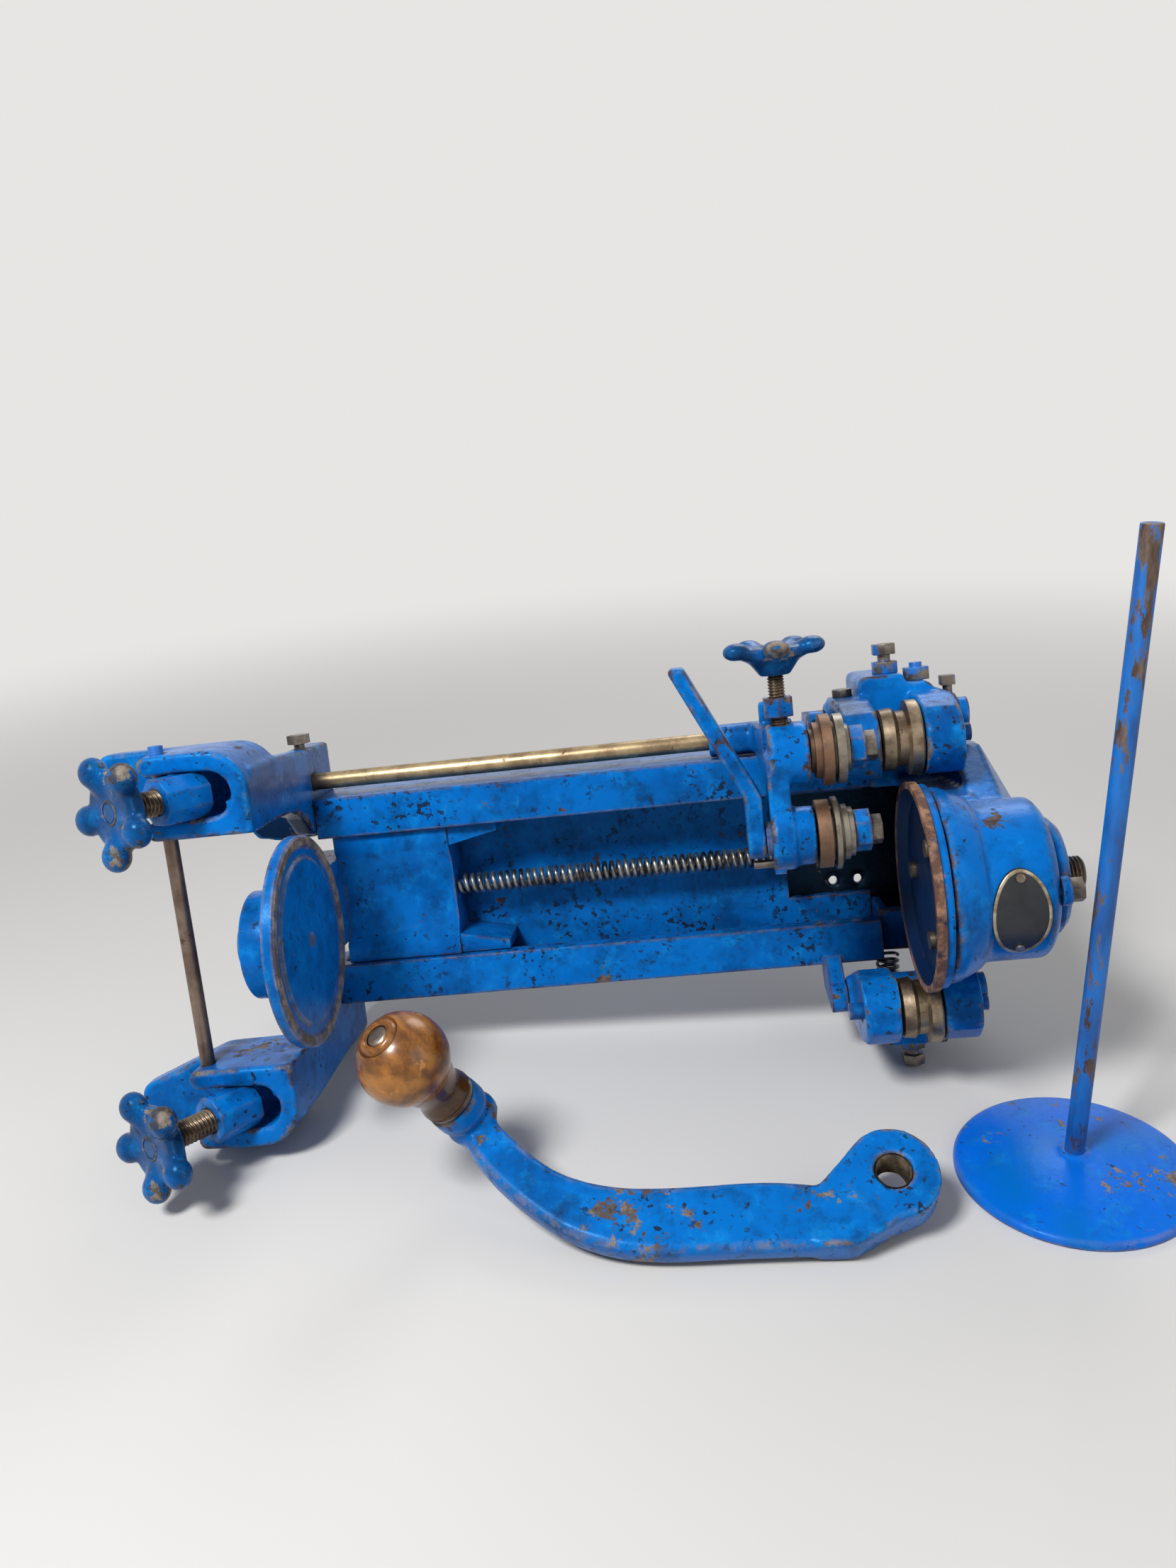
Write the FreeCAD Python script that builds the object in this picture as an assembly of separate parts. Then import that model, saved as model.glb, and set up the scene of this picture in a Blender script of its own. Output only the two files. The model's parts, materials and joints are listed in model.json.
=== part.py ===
"""Hand-cranked can seamer lying on its side, with its crank and a spare plate beside it.

Machine pieces are drawn in the machine frame: x runs along the column towards the head, y runs
across the rails, z points out of the open side, and the origin is the centre of the chuck's face.
One placement then lays the machine down. Units are millimetres.
"""
import FreeCAD, Part
import math
import os

Vec = FreeCAD.Vector

# Clearances
FIT = 0.05          # radial, shaft in a bore of another body
SNUG = 0.02         # radial, pin in a bore of its own body
GAP = 0.3           # between faces that slide or turn past each other

# Column: a cast channel with two lipped rails
COLUMN_FOOT = -312.0
COLUMN_HEAD = -6.0
RAIL_INNER = 37.0
RAIL_OUTER = 59.5
RAIL_FACE = -75.0
LIP = 10.0
WALL = 9.0
COLUMN_BACK = -118.0
WEB = 7.0
WINDOW_FOOT = -52.0
WINDOW_HALF = 30.0

# Rod on which the roll arm swings
SWING_ROD_R = 4.75
SWING_ROD_Y = 68.6
SWING_ROD_Z = -85.0
SWING_ROD_END = -33.0

# Seaming yokes: the upper one; the lower one mirrors it
YOKE_PIVOT = (74.0, -62.0)
YOKE_AXLE = (68.5, -24.0)
YOKE_LEFT = (-27.0, -9.2)
YOKE_RIGHT = (11.7, 30.0)
YOKE_BARREL_R = 11.0
YOKE_PIN_R = 5.0
AXLE_R = 4.3
AXLE_ENDS = (-33.0, 35.5)
LUG_LEFT = (-38.0, -29.4)
LUG_RIGHT = (30.4, 38.0)
LUG_R = 10.5
LEFT_LUG_R = 8.0
YOKE_BOLT_R = 3.2
EAR_SCREW_R = 3.0
YOKE_BOLT_X = 3.0
YOKE_STUD_X = 18.5
EAR_SCREW_X = -19.5
YOKE_BOLT_Z = -60.0
EAR_TOP = 88.0
BRIDGE_LEFT = -13.0
BRIDGE_TOP = 98.0
BRIDGE_STEP = 93.0
BRIDGE_FRONT = -46.0
SEAM_ROLL = [(-8.4, 13), (-7.4, 14.8), (-2.0, 15.4), (0.0, 13.6), (4.2, 13.6), (5.0, 18.3),
             (10.0, 18.3), (10.9, 17.4)]
LUG_SCREW_R = 2.4

# Head, spindle and chuck
CHUCK_R = 50.0
CHUCK_RIM = 4.0
CHUCK_BACK = 8.0
CHUCK_RECESS = 5.0
CHUCK_SCREWS = 3
CHUCK_SCREW_R = 26.0
CHUCK_THREAD_R = 2.4
SPINDLE_R = 12.0
FLANGE_R = 34.0
FLANGE = 4.0
HOUSING_R = 38.0
HOUSING_END = 58.0
CAP_END = 65.0
STUB_R = 7.94       # 5/8 in thread for the crank
STUB_END = 77.0
HEAD_PLATE = 7.0
HEAD_PLATE_END = 44.0
HEAD_HALF = 58.0
HOOD_FOOT = 31.5
HOOD_BACK = [(HOOD_FOOT, 58), (46, 58), (HOUSING_END + 6, 21)]
HOOD_FRONT = [(HOOD_FOOT, 34), (46, 34), (HOUSING_END - 4, 20)]
HOOD_BEND = -52.0
HOOD_TOP = -8.0
NECK_HALF = 40.0
POCKET_HALF = 34.0
POCKET_END = 41.0
POCKET_TOP = -46.0
SLOT_XS = (-28.0, -14.0)
HEAD_BOLT_R = 4.0
HEAD_BOLT_Y = 46.0
CAP_R = 27.5
CAP_STEP = 3.0
CAP_EAR_R = 7.0
CAP_BOLT_R = 3.0
CAP_BOLT_Z = 29.0
CAP_BOLT_ROOT = 11.0

# Nameplate on the front of the spindle housing
PLATE_X = 39.0
PLATE_HALF_X = 13.0
PLATE_HALF_Y = 21.0
PLATE_TURN = -12.0
NAMEPLATE_THICK = 1.0
RIVET_R = 1.2
RIVET_HEAD_R = 2.0
RIVET_ROOT = 4.0
RIVET_OFF = 17.5

# Carriage and can disc
CARRIAGE_FACE = -79.0
CARRIAGE_FOOT = -305.0
CARRIAGE_HEAD = -240.0
PRONG_HEAD = -212.0
BRACKET = (-324.0, -303.0)
HUB_R = 27.0
DISC_R = 52.8
DISC_FACE = -296.5
DISC_BACK = -302.6
DISC_PIN_R = 8.0

# Springs
MAIN_WIRE = 2.6
MAIN_R = 4.6
MAIN_PITCH = 4.1
MAIN_Z = -94.0
POST_FOOT = -60.0
POST_HEAD = -54.0
PEG = 8.0
RETURN_WIRE = 1.8
RETURN_R = 5.6
RETURN_TURNS = 3.5
RETURN_X = -3.0
RETURN_Z = -87.0

# Feet and clamps: the upper ones; the lower ones mirror them
FOOT_LEFT = -366.0
FOOT_INNER = 59.0
FOOT_OUTER = 101.0
FOOT_FACE = 15.0
JAW_BACK = -22.0
JAW_CORNER = 20.0
PRONG_ROUND = 4.5
SOLE_BACK = -34.0
SOLE_END = -410.0
SLOT_END = -321.0
FLANK_FOOT = -325.0
FLANK_OUTER = 88.0
FLANK_FRONT = 9.0
ARCH_R = 40.0
ARCH_TOP = 70.0
ARCH_Z = -32.0
FOOT_EASE = 2.0
CLAMP_Y = 80.0
SLOT_HALF = 11.2
CLAMP_ANGLE = 56.0
NUT_HEAD = (-339.1, 6.7)
NUT_LENGTH = 24.0
CLAMP_R = 6.35      # 1/2 in thread
CLAMP_TIP = 4.0
UPPER_KNOB_OUT = 10.0
LOWER_KNOB_OUT = 19.0
CROSS_ROD_R = 3.6
CROSS_ROD_X = -360.0
CROSS_ROD_Z = 2.0
CROSS_ROD_ENDS = (-68.0, 105.0)
SET_SCREW_R = 3.0
SET_SCREW_OFF = 6.0
SWING_ROD_ROOT = 13.0

# Roll arm
ARM_PLATE = (-66.0, -55.6)
ARM_Z = 10.0
ARM_UPPER_Y = 71.3
ARM_LOWER_Y = 32.0
ARM_WAIST_Y = 50.0
UPPER_BOSS_R = 14.5
LOWER_BOSS_R = 13.7
BOSS_RIM = 1.8
BOSS_END = -45.6
SLEEVE_R = 8.75
SLEEVE = (-90.0, -44.0)
STUD_R = 5.0
STUD_SOCKET = 10.0
UPPER_ROLL = [(-45.0, 10), (-43.2, 10), (-43.2, 13), (-40.2, 13), (-40.0, 16.6), (-35.4, 16.6),
              (-35.0, 13), (-33.8, 13), (-33.6, 16.2), (-29.7, 16.2), (-29.3, 11), (-27.5, 11)]
LOWER_ROLL = [(-45.0, 16), (-38.8, 16), (-38.8, 13), (-37.8, 13), (-37.2, 17), (-35.0, 17),
              (-33.2, 13), (-30.8, 13), (-30.8, 11.5), (-28.3, 11.5)]
UPPER_NUT = (-27.2, -20.2)
LOWER_NUT = (-28.0, -20.2)
STUD_NUT_FLATS = 17.5
STUD_HEAD = 5.2
STUD_HEAD_FLATS = 12.5
LEVER = (-77.0, -68.6)
LEVER_R = 9.0
LEVER_HALF = 8.0
LEVER_KNEE_Y = 53.0
LEVER_TIP = (-107.5, 116.0)
STOP_PIN_R = 2.0
STOP_PIN_Y = 20.0
STOP_PIN_ROOT = 5.0
ARM_SCREW_R = 3.9
ARM_SCREW_X = -57.5
ARM_NUT = 9.0
ARM_NUT_FLATS = 13.0
ARM_NUT_OUT = 3.0
ARM_KNOB_SEAT = 108.0

# Star knobs: outer radius, lobe radius and height, neck, and how far the lobes are turned
STAR_LOBES = 5
CLAMP_STAR = {"radius": 28.5, "lobe": 7.4, "high": 12.5, "neck": 6.0}
ARM_STAR = {"radius": 24.0, "lobe": 6.2, "high": 8.0, "neck": 8.5}
UPPER_STAR_TURN = 48.0
LOWER_STAR_TURN = -48.0
ARM_STAR_TURN = 54.0

# Crank and loose plate, placed from the point of the bench below the chuck's face.
# The crank is drawn in its own plane, with the eye's upper face at the origin.
CRANK_AT = Vec(-25.2, -87.4, 0.0)
CRANK_TILT = 25.0
EYE_R = 20.5
EYE_THICK = 18.0
CRANK_HOLE_R = 8.0
ARM_DROP = 2.0
ARM_THICK = 14.0
ARM_FAR = [(-184, 38), (-174, 28), (-163, 17.5), (-151, 8), (-138, 2), (-122, -1.8), (-102, -3), (-78, -2.2),
           (-60, -1.6), (-43, -2.4), (-29, -4.8)]
ARM_NEAR = [(-193, 24), (-182, 8), (-167, -6.6), (-152, -18), (-138, -25.6), (-121, -31), (-97, -33.2),
            (-72, -32.6), (-47, -32.2), (-33, -32)]
HANDLE_BASE = Vec(-189.0, 36.0, -11.0)
HANDLE_AXIS = Vec(-0.42, 0.04, 0.90)
COLLAR_R = 13.5
COLLAR_LENGTH = 21.0
HANDLE_PIN_R = 5.0
PIN_HEAD = 1.5
PIN_ROOT = 4.0
KNOB_R = 21.3
KNOB_CENTRE = 58.0
PLATE_AT = Vec(62.6, -54.0, 0.0)
PLATE_R = 53.0
PLATE_RISE = 7.0
PLATE_THICK = 4.0
PLATE_ROD_R = 4.4
PLATE_ROD_LENGTH = 290.0
PLATE_ROD_LEAN = 2.5

# How the machine lies: head raised, open side turned up a little
LIE_PITCH = 2.61
LIE_ROLL = 10.85


def rod(radius, start, end):
    """Cylinder between two points."""
    axis = end - start
    return Part.makeCylinder(radius, axis.Length, start, axis)


def block(xs, ys, zs):
    """Box between pairs of limits."""
    return Part.makeBox(xs[1] - xs[0], ys[1] - ys[0], zs[1] - zs[0], Vec(xs[0], ys[0], zs[0]))


def along_x(radius, xs, y, z):
    """Cylinder parallel to x."""
    return rod(radius, Vec(xs[0], y, z), Vec(xs[1], y, z))


def turned(profile, y=0.0, z=0.0):
    """Solid turned about a line parallel to x from (x, radius) points."""
    points = [Vec(profile[0][0], y, z)]
    points += [Vec(x, y + r, z) for x, r in profile]
    points += [Vec(profile[-1][0], y, z), points[0]]
    face = Part.Face(Part.makePolygon(points))
    return face.revolve(Vec(0, y, z), Vec(1, 0, 0), 360)


def loop(corners):
    """Closed wire through (point, corner radius) pairs."""
    joins = []
    for k, (at, radius) in enumerate(corners):
        back = (corners[k - 1][0] - at).normalize()
        ahead = (corners[(k + 1) % len(corners)][0] - at).normalize()
        if radius == 0:
            joins.append([at])
            continue
        half = back.getAngle(ahead) / 2
        reach = radius / math.tan(half)
        crest = radius / math.sin(half) - radius
        joins.append([at + back * reach, at + (back + ahead).normalize() * crest, at + ahead * reach])
    edges = []
    for k, join in enumerate(joins):
        if len(join) == 3:
            edges.append(Part.Arc(*join).toShape())
        edges.append(Part.makeLine(join[-1], joins[(k + 1) % len(joins)][0]))
    return Part.Wire(edges)


def slab(corners, sweep, ease=0.0):
    """Outline swept along a vector; its two rims can be rounded."""
    solid = Part.Face(loop(corners)).extrude(sweep)
    if ease == 0:
        return solid
    across = [e for e in solid.Edges if abs(e.tangentAt(e.FirstParameter).dot(sweep)) < sweep.Length / 2]
    return solid.makeFillet(ease, across)


def corners_of(outline, place):
    """Corners from outline points of two coordinates and, where a corner is round, its radius."""
    return [(place(p[0], p[1]), p[2] if len(p) == 3 else 0.0) for p in outline]


def slab_x(outline, xs, ease=0.0):
    return slab(corners_of(outline, lambda y, z: Vec(xs[0], y, z)), Vec(xs[1] - xs[0], 0, 0), ease)


def slab_z(outline, zs, ease=0.0):
    return slab(corners_of(outline, lambda x, y: Vec(x, y, zs[0])), Vec(0, 0, zs[1] - zs[0]), ease)


def prism(sides, flats, start, end, turn=0.0):
    """Regular prism between two points, sized across its flats."""
    axis = end - start
    radius = flats / 2 / math.cos(math.pi / sides)
    angles = [math.radians(turn) + 2 * math.pi * (k + 0.5) / sides for k in range(sides)]
    solid = slab([(Vec(radius * math.cos(a), radius * math.sin(a), 0), 0.0) for a in angles],
                 Vec(0, 0, axis.Length))
    solid.Placement = FreeCAD.Placement(start, FreeCAD.Rotation(Vec(0, 0, 1), axis))
    return solid


def bolt(flats, head, radius, seat, axis, length):
    """Hexagon bolt: its head stands on the seat and its shank runs back along the axis."""
    top = prism(6, flats, seat, seat + axis * head)
    return top.fuse(rod(radius, seat - axis * length, seat + axis * (head / 2)))


def mirrored(shape):
    return shape.mirror(Vec(0, 0, 0), Vec(0, 1, 0))


def fused(shapes):
    return shapes[0].multiFuse(shapes[1:]).removeSplitter()


def biarc(p, tp, q, tq):
    """Two arcs that join p to q and follow both tangents."""
    span = q - p
    total = tp + tq
    bend = 2 * (1 - tp.dot(tq))
    reach = span.dot(total)
    d = (-reach + math.sqrt(reach * reach + bend * span.dot(span))) / bend
    middle = (p + tp * d + q - tq * d) * 0.5
    return [arc(p, tp, middle), arc(q, tq * -1, middle)]


def arc(start, tangent, end):
    """Arc from start along its tangent to end."""
    chord = end - start
    side = (chord - tangent * chord.dot(tangent)).normalize()
    half = math.atan2(chord.dot(side), chord.dot(tangent))
    radius = chord.Length / (2 * math.sin(half))
    middle = start + tangent * (radius * math.sin(half)) + side * (radius * (1 - math.cos(half)))
    return Part.Arc(start, middle, end).toShape()


def coil(name, start, end, across, radius, wire, turns):
    """One unbroken helical wire from start to end; its ends run straight for one wire diameter."""
    axis = end - start
    length = axis.Length
    axis = axis * (1 / length)
    second = axis.cross(across)
    steep = math.atan2(length / turns, 2 * math.pi * radius)
    inset = wire / 2 + wire * math.sin(steep) + SNUG
    rise = (length - 2 * inset) / turns
    slope = math.atan2(rise, 2 * math.pi * radius)

    def point(t):
        a = 2 * math.pi * t
        return start + axis * (inset + rise * t) \
            + across * (radius * math.cos(a)) + second * (radius * math.sin(a))

    def tangent(t):
        a = 2 * math.pi * t
        flat = second * math.cos(a) - across * math.sin(a)
        return flat * math.cos(slope) + axis * math.sin(slope)

    stops = [k / 2 for k in range(int(turns * 2) + 1)]
    edges = [Part.makeLine(point(0) - tangent(0) * wire, point(0))]
    for a, b in zip(stops, stops[1:]):
        edges += biarc(point(a), tangent(a), point(b), tangent(b))
    last = stops[-1]
    edges.append(Part.makeLine(point(last), point(last) + tangent(last) * wire))
    path = Part.Wire(Part.__sortEdges__(edges))
    ring = Part.Wire([Part.makeCircle(wire / 2, edges[0].Vertexes[0].Point, tangent(0))])
    tube = path.makePipeShell([ring], True, False)

    points = [point(k / 24) for k in range(48)]
    apart = min((p - q).Length for i, p in enumerate(points) for q in points[i + 12:])
    print(name, "least gap to itself", round(apart - wire, 2), "mm")
    return tube


def star_knob(seat, axis, turn, radius, lobe, high, neck):
    """Five-lobed knob whose neck stands on the seat; the axis points out of its face."""
    web = high * 0.6
    top = neck + web
    hub = turned([(0, lobe * 1.15), (neck, radius * 0.55), (neck + 1, radius * 0.6),
                  (top - 1.5, radius * 0.6), (top, radius * 0.5)])
    hub.rotate(Vec(0, 0, 0), Vec(0, 1, 0), -90)
    parts = [hub]
    for k in range(STAR_LOBES):
        a = math.radians(turn) + 2 * math.pi * k / STAR_LOBES
        out = Vec(math.cos(a), math.sin(a), 0) * (radius - lobe)
        button = Part.makeCylinder(lobe, high, out + Vec(0, 0, neck))
        rims = [e for e in button.Edges if e.Closed]
        parts.append(button.makeFillet(min(lobe * 0.7, high * 0.45), rims))
        middle = Vec(0, 0, neck + web / 2)
        parts.append(rod(web * 0.42, middle, middle + out))
    dimple = Part.makeCylinder(radius * 0.2, 1, Vec(0, 0, top - 1))
    knob = fused(parts).cut(dimple)
    knob.Placement = FreeCAD.Placement(seat, FreeCAD.Rotation(Vec(0, 0, 1), axis))
    return knob


def side_lug(xs, base, radius):
    """Lug that carries a yoke's pivot pin."""
    y, z = YOKE_PIVOT
    lug = fused([slab_x(base, xs), along_x(radius, xs, y, z)])
    return lug.cut(along_x(YOKE_PIN_R + SNUG, xs, y, z))


def column():
    xs = (COLUMN_FOOT, COLUMN_HEAD)
    channel = RAIL_OUTER - WALL
    web_face = COLUMN_BACK + WEB
    body = block(xs, (-RAIL_OUTER, RAIL_OUTER), (COLUMN_BACK, RAIL_FACE))
    body = body.cut(block(xs, (-channel, channel), (web_face, RAIL_FACE - LIP)))
    body = body.cut(block(xs, (-RAIL_INNER, RAIL_INNER), (RAIL_FACE - LIP, RAIL_FACE)))
    body = body.cut(block((WINDOW_FOOT, COLUMN_HEAD), (-WINDOW_HALF, WINDOW_HALF),
                          (COLUMN_BACK, web_face)))
    y, z = YOKE_PIVOT
    r = LEFT_LUG_R
    root = RAIL_OUTER - WALL / 2
    base = [(root, COLUMN_BACK + WALL), (y + r * 0.6, SWING_ROD_Z - r), (y + r, z), (y, z + r), (y - r, z),
            (root, RAIL_FACE)]
    lug = side_lug(LUG_LEFT, base, r)
    body = fused([body, lug, mirrored(lug)])
    rod_hole = along_x(SWING_ROD_R + SNUG, (LUG_LEFT[0], SWING_ROD_END), SWING_ROD_Y, SWING_ROD_Z)
    return body.cut(rod_hole)


def hood():
    """Sloping hood behind the spindle housing: straight at its back, tapered towards its front."""
    sections = []
    for outline, z in ((HOOD_BACK, COLUMN_BACK), (HOOD_BACK, HOOD_BEND), (HOOD_FRONT, HOOD_TOP)):
        ring = [Vec(x, y, z) for x, y in outline] + [Vec(x, -y, z) for x, y in outline[::-1]]
        sections.append(Part.makePolygon(ring + [ring[0]]))
    return fused([Part.makeLoft(sections[:2], True, True), Part.makeLoft(sections[1:], True, True)])


def head_casting():
    front = CHUCK_BACK + GAP * 2
    back = (COLUMN_BACK - HEAD_PLATE, COLUMN_BACK)
    shoulder_top = RAIL_FACE - LIP
    housing = turned([(front, HOUSING_R + 8.5), (front + 5, HOUSING_R + 8.5), (front + 16, HOUSING_R + 3),
                      (front + 17, HOUSING_R), (HOUSING_END - 4, HOUSING_R), (HOUSING_END, HOUSING_R - 5)])
    neck = block((front, HOOD_FOOT + 1), (-NECK_HALF, NECK_HALF), (COLUMN_BACK, HOOD_TOP))
    shoulder = block((COLUMN_HEAD, HOOD_FOOT + 1), (-HEAD_HALF, HEAD_HALF), (COLUMN_BACK, shoulder_top))
    plate = block((WINDOW_FOOT - 8, HEAD_PLATE_END), (-HEAD_HALF, HEAD_HALF), back)
    y, z = YOKE_PIVOT
    base = [(HOOD_BACK[1][0] - 2, RAIL_FACE - 20), (y + LUG_R * 0.7, z - LUG_R * 0.7), (y + LUG_R, z),
            (y, z + LUG_R), (HOOD_BACK[1][0] - 2, HOOD_BEND + 2)]
    lug = side_lug(LUG_RIGHT, base, LUG_R)
    body = fused([housing, hood(), neck, shoulder, plate, lug, mirrored(lug)])
    body = body.cut(block((COLUMN_HEAD, POCKET_END), (-POCKET_HALF, POCKET_HALF), (COLUMN_BACK, POCKET_TOP)))
    side_pocket = HEAD_HALF - WALL + 1
    body = body.cut(block((COLUMN_HEAD + 6, POCKET_END - 3), (-side_pocket, side_pocket),
                          (COLUMN_BACK, shoulder_top - 6)))
    for x in SLOT_XS:
        body = body.cut(block((x, x + 5), (-27, -21), back))
    body = body.cut(along_x(FLANGE_R + GAP, (front, CHUCK_BACK + FLANGE + GAP), 0, 0))
    body = body.cut(along_x(SPINDLE_R + FIT, (front, HOUSING_END), 0, 0))
    body = body.cut(along_x(HOUSING_R + 8, (HOUSING_END, CAP_END + 9), 0, 0))
    for rivet in rivets(RIVET_R + SNUG):
        body = body.cut(rivet)
    for screw in head_bolt_axes():
        body = body.cut(rod(HEAD_BOLT_R + SNUG, screw, screw + Vec(0, 0, HEAD_PLATE)))
    root = HOUSING_END - CAP_BOLT_ROOT - 1
    for sign in (-1, 1):
        body = body.cut(along_x(CAP_BOLT_R + SNUG, (root, HOUSING_END), 0, sign * CAP_BOLT_Z))
    return body


def radial(angle):
    """Unit vector across the spindle, turned from the open side."""
    a = math.radians(angle)
    return Vec(0, math.sin(a), math.cos(a))


def rivets(radius):
    spread = math.degrees(RIVET_OFF / HOUSING_R)
    pins = []
    for angle in (PLATE_TURN - spread, PLATE_TURN + spread):
        out = radial(angle)
        pins.append(rod(radius, Vec(PLATE_X, 0, 0) + out * (HOUSING_R - RIVET_ROOT),
                        Vec(PLATE_X, 0, 0) + out * (HOUSING_R + NAMEPLATE_THICK + 0.5)))
    return pins


def nameplate():
    xs = (PLATE_X - PLATE_HALF_X - 2, PLATE_X + PLATE_HALF_X + 2)
    shell = along_x(HOUSING_R + SNUG + NAMEPLATE_THICK, xs, 0, 0)
    shell = shell.cut(along_x(HOUSING_R + SNUG, xs, 0, 0))
    oval = Part.Ellipse(Vec(0, 0, 0), PLATE_HALF_Y, PLATE_HALF_X).toShape()
    stamp = Part.Face(Part.Wire([oval])).extrude(Vec(0, 0, HOUSING_R * 2))
    stamp.rotate(Vec(0, 0, 0), Vec(0, 0, 1), 90)
    stamp.rotate(Vec(0, 0, 0), Vec(1, 0, 0), -PLATE_TURN)
    stamp.translate(Vec(PLATE_X, 0, 0))
    plate = shell.common(stamp)
    for pin in rivets(RIVET_R + SNUG):
        plate = plate.cut(pin)
    return plate


def nameplate_rivets():
    spread = math.degrees(RIVET_OFF / HOUSING_R)
    pins = []
    for angle, pin in zip((PLATE_TURN - spread, PLATE_TURN + spread), rivets(RIVET_R)):
        out = radial(angle)
        seat = Vec(PLATE_X, 0, 0) + out * (HOUSING_R + SNUG + NAMEPLATE_THICK + 0.06)
        pins.append(pin.fuse(rod(RIVET_HEAD_R, seat, seat + out)))
    return Part.makeCompound(pins)


def head_bolt_axes():
    base = COLUMN_BACK - HEAD_PLATE
    return [Vec(x, y, base) for x in (WINDOW_FOOT + 6, COLUMN_HEAD - 8) for y in (-HEAD_BOLT_Y, HEAD_BOLT_Y)]


def head_bolts():
    down = Vec(0, 0, -1)
    return Part.makeCompound([bolt(13, 6, HEAD_BOLT_R, p, down, HEAD_PLATE) for p in head_bolt_axes()])


def bearing_cap():
    step = CAP_END - CAP_STEP
    cap = turned([(HOUSING_END, CAP_R), (step, CAP_R), (CAP_END, CAP_R - CAP_STEP)])
    ears = [along_x(CAP_EAR_R, (HOUSING_END, step), 0, sign * CAP_BOLT_Z) for sign in (-1, 1)]
    cap = fused([cap] + ears).cut(along_x(SPINDLE_R + FIT, (HOUSING_END, CAP_END), 0, 0))
    for sign in (-1, 1):
        cap = cap.cut(along_x(CAP_BOLT_R + SNUG, (HOUSING_END, CAP_END), 0, sign * CAP_BOLT_Z))
        cap = cap.cut(along_x(CAP_EAR_R, (step, CAP_END), 0, sign * CAP_BOLT_Z))
    return cap


def cap_bolts():
    step = CAP_END - CAP_STEP
    length = step - HOUSING_END + CAP_BOLT_ROOT
    seats = [Vec(step, 0, sign * CAP_BOLT_Z) for sign in (-1, 1)]
    return Part.makeCompound([bolt(10, 6, CAP_BOLT_R, s, Vec(1, 0, 0), length) for s in seats])


def spindle():
    shaft = turned([(CHUCK_BACK, FLANGE_R), (CHUCK_BACK + FLANGE, FLANGE_R),
                    (CHUCK_BACK + FLANGE, SPINDLE_R), (CAP_END, SPINDLE_R), (CAP_END, STUB_R),
                    (STUB_END - 1.5, STUB_R), (STUB_END, STUB_R - 1.5)])
    for seat in chuck_screw_seats():
        shaft = shaft.cut(rod(CHUCK_THREAD_R + SNUG, seat, seat + Vec(CHUCK_BACK, 0, 0)))
    return shaft


def chuck_screw_seats():
    angles = [2 * math.pi * k / CHUCK_SCREWS + 0.6 for k in range(CHUCK_SCREWS)]
    return [Vec(CHUCK_RECESS, CHUCK_SCREW_R * math.cos(a), CHUCK_SCREW_R * math.sin(a)) for a in angles]


def chuck():
    body = turned([(0, CHUCK_R), (CHUCK_RIM, CHUCK_R), (CHUCK_RIM + 0.8, CHUCK_R - 1.5),
                   (CHUCK_BACK, CHUCK_R - 1.5)])
    hollow = turned([(0, CHUCK_R - 3), (CHUCK_RECESS, CHUCK_R - 8)])
    body = body.cut(hollow)
    for seat in chuck_screw_seats():
        body = body.cut(rod(CHUCK_THREAD_R + SNUG, seat, seat + Vec(CHUCK_BACK, 0, 0)))
    return body


def chuck_screws():
    screws = []
    for seat in chuck_screw_seats():
        head = rod(4.2, seat - Vec(2.2, 0, 0), seat)
        shank = rod(CHUCK_THREAD_R, seat - Vec(1, 0, 0), seat + Vec(CHUCK_BACK - 2, 0, 0))
        screws.append(head.fuse(shank))
    return Part.makeCompound(screws)


def foot():
    y0, y1 = FOOT_INNER, FOOT_OUTER
    x1 = COLUMN_FOOT
    low, high = CLAMP_Y - SLOT_HALF, CLAMP_Y + SLOT_HALF
    slot_round = SLOT_HALF * 0.98
    jaw = slab_z([(FOOT_LEFT, y0, PRONG_ROUND), (x1, y0), (x1, y1, JAW_CORNER),
                  (FOOT_LEFT, y1, PRONG_ROUND), (FOOT_LEFT, high, PRONG_ROUND), (SLOT_END, high, slot_round),
                  (SLOT_END, low, slot_round), (FOOT_LEFT, low, PRONG_ROUND)],
                 (JAW_BACK, FOOT_FACE), FOOT_EASE)
    sole = slab_z([(x1, y0), (FOOT_LEFT + 4, y0 + 1, 12), (SOLE_END, y0 + 20, 6), (SOLE_END - 2, y0 + 32, 5),
                   (SOLE_END + 10, y1, 8), (x1, y1, JAW_CORNER)], (SOLE_BACK, JAW_BACK + 1), FOOT_EASE)
    inner = RAIL_INNER + 3
    shoulder = y1 - 10
    flank = slab_x([(inner, COLUMN_BACK), (inner, RAIL_FACE - 1), (y0, RAIL_FACE + 5), (y0, FLANK_FRONT),
                    (shoulder, FLANK_FRONT, 6), (shoulder, JAW_BACK, 30), (FLANK_OUTER, RAIL_FACE, 12),
                    (FLANK_OUTER, COLUMN_BACK)], (FLANK_FOOT, x1), FOOT_EASE)
    slot_end = Vec(SLOT_END - SLOT_HALF, CLAMP_Y, JAW_BACK)
    flank = flank.cut(rod(SLOT_HALF + FOOT_EASE, slot_end, slot_end + Vec(0, 0, FOOT_FACE - JAW_BACK)))
    arch = along_x(ARCH_R, (FLANK_FOOT - 1, x1), ARCH_TOP - ARCH_R, ARCH_Z)
    return fused([jaw, sole, flank]).cut(arch).cut(cross_rod_line(CROSS_ROD_R + SNUG))


def cross_rod_line(radius):
    return rod(radius, Vec(CROSS_ROD_X, CROSS_ROD_ENDS[0], CROSS_ROD_Z),
               Vec(CROSS_ROD_X, CROSS_ROD_ENDS[1], CROSS_ROD_Z))


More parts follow.
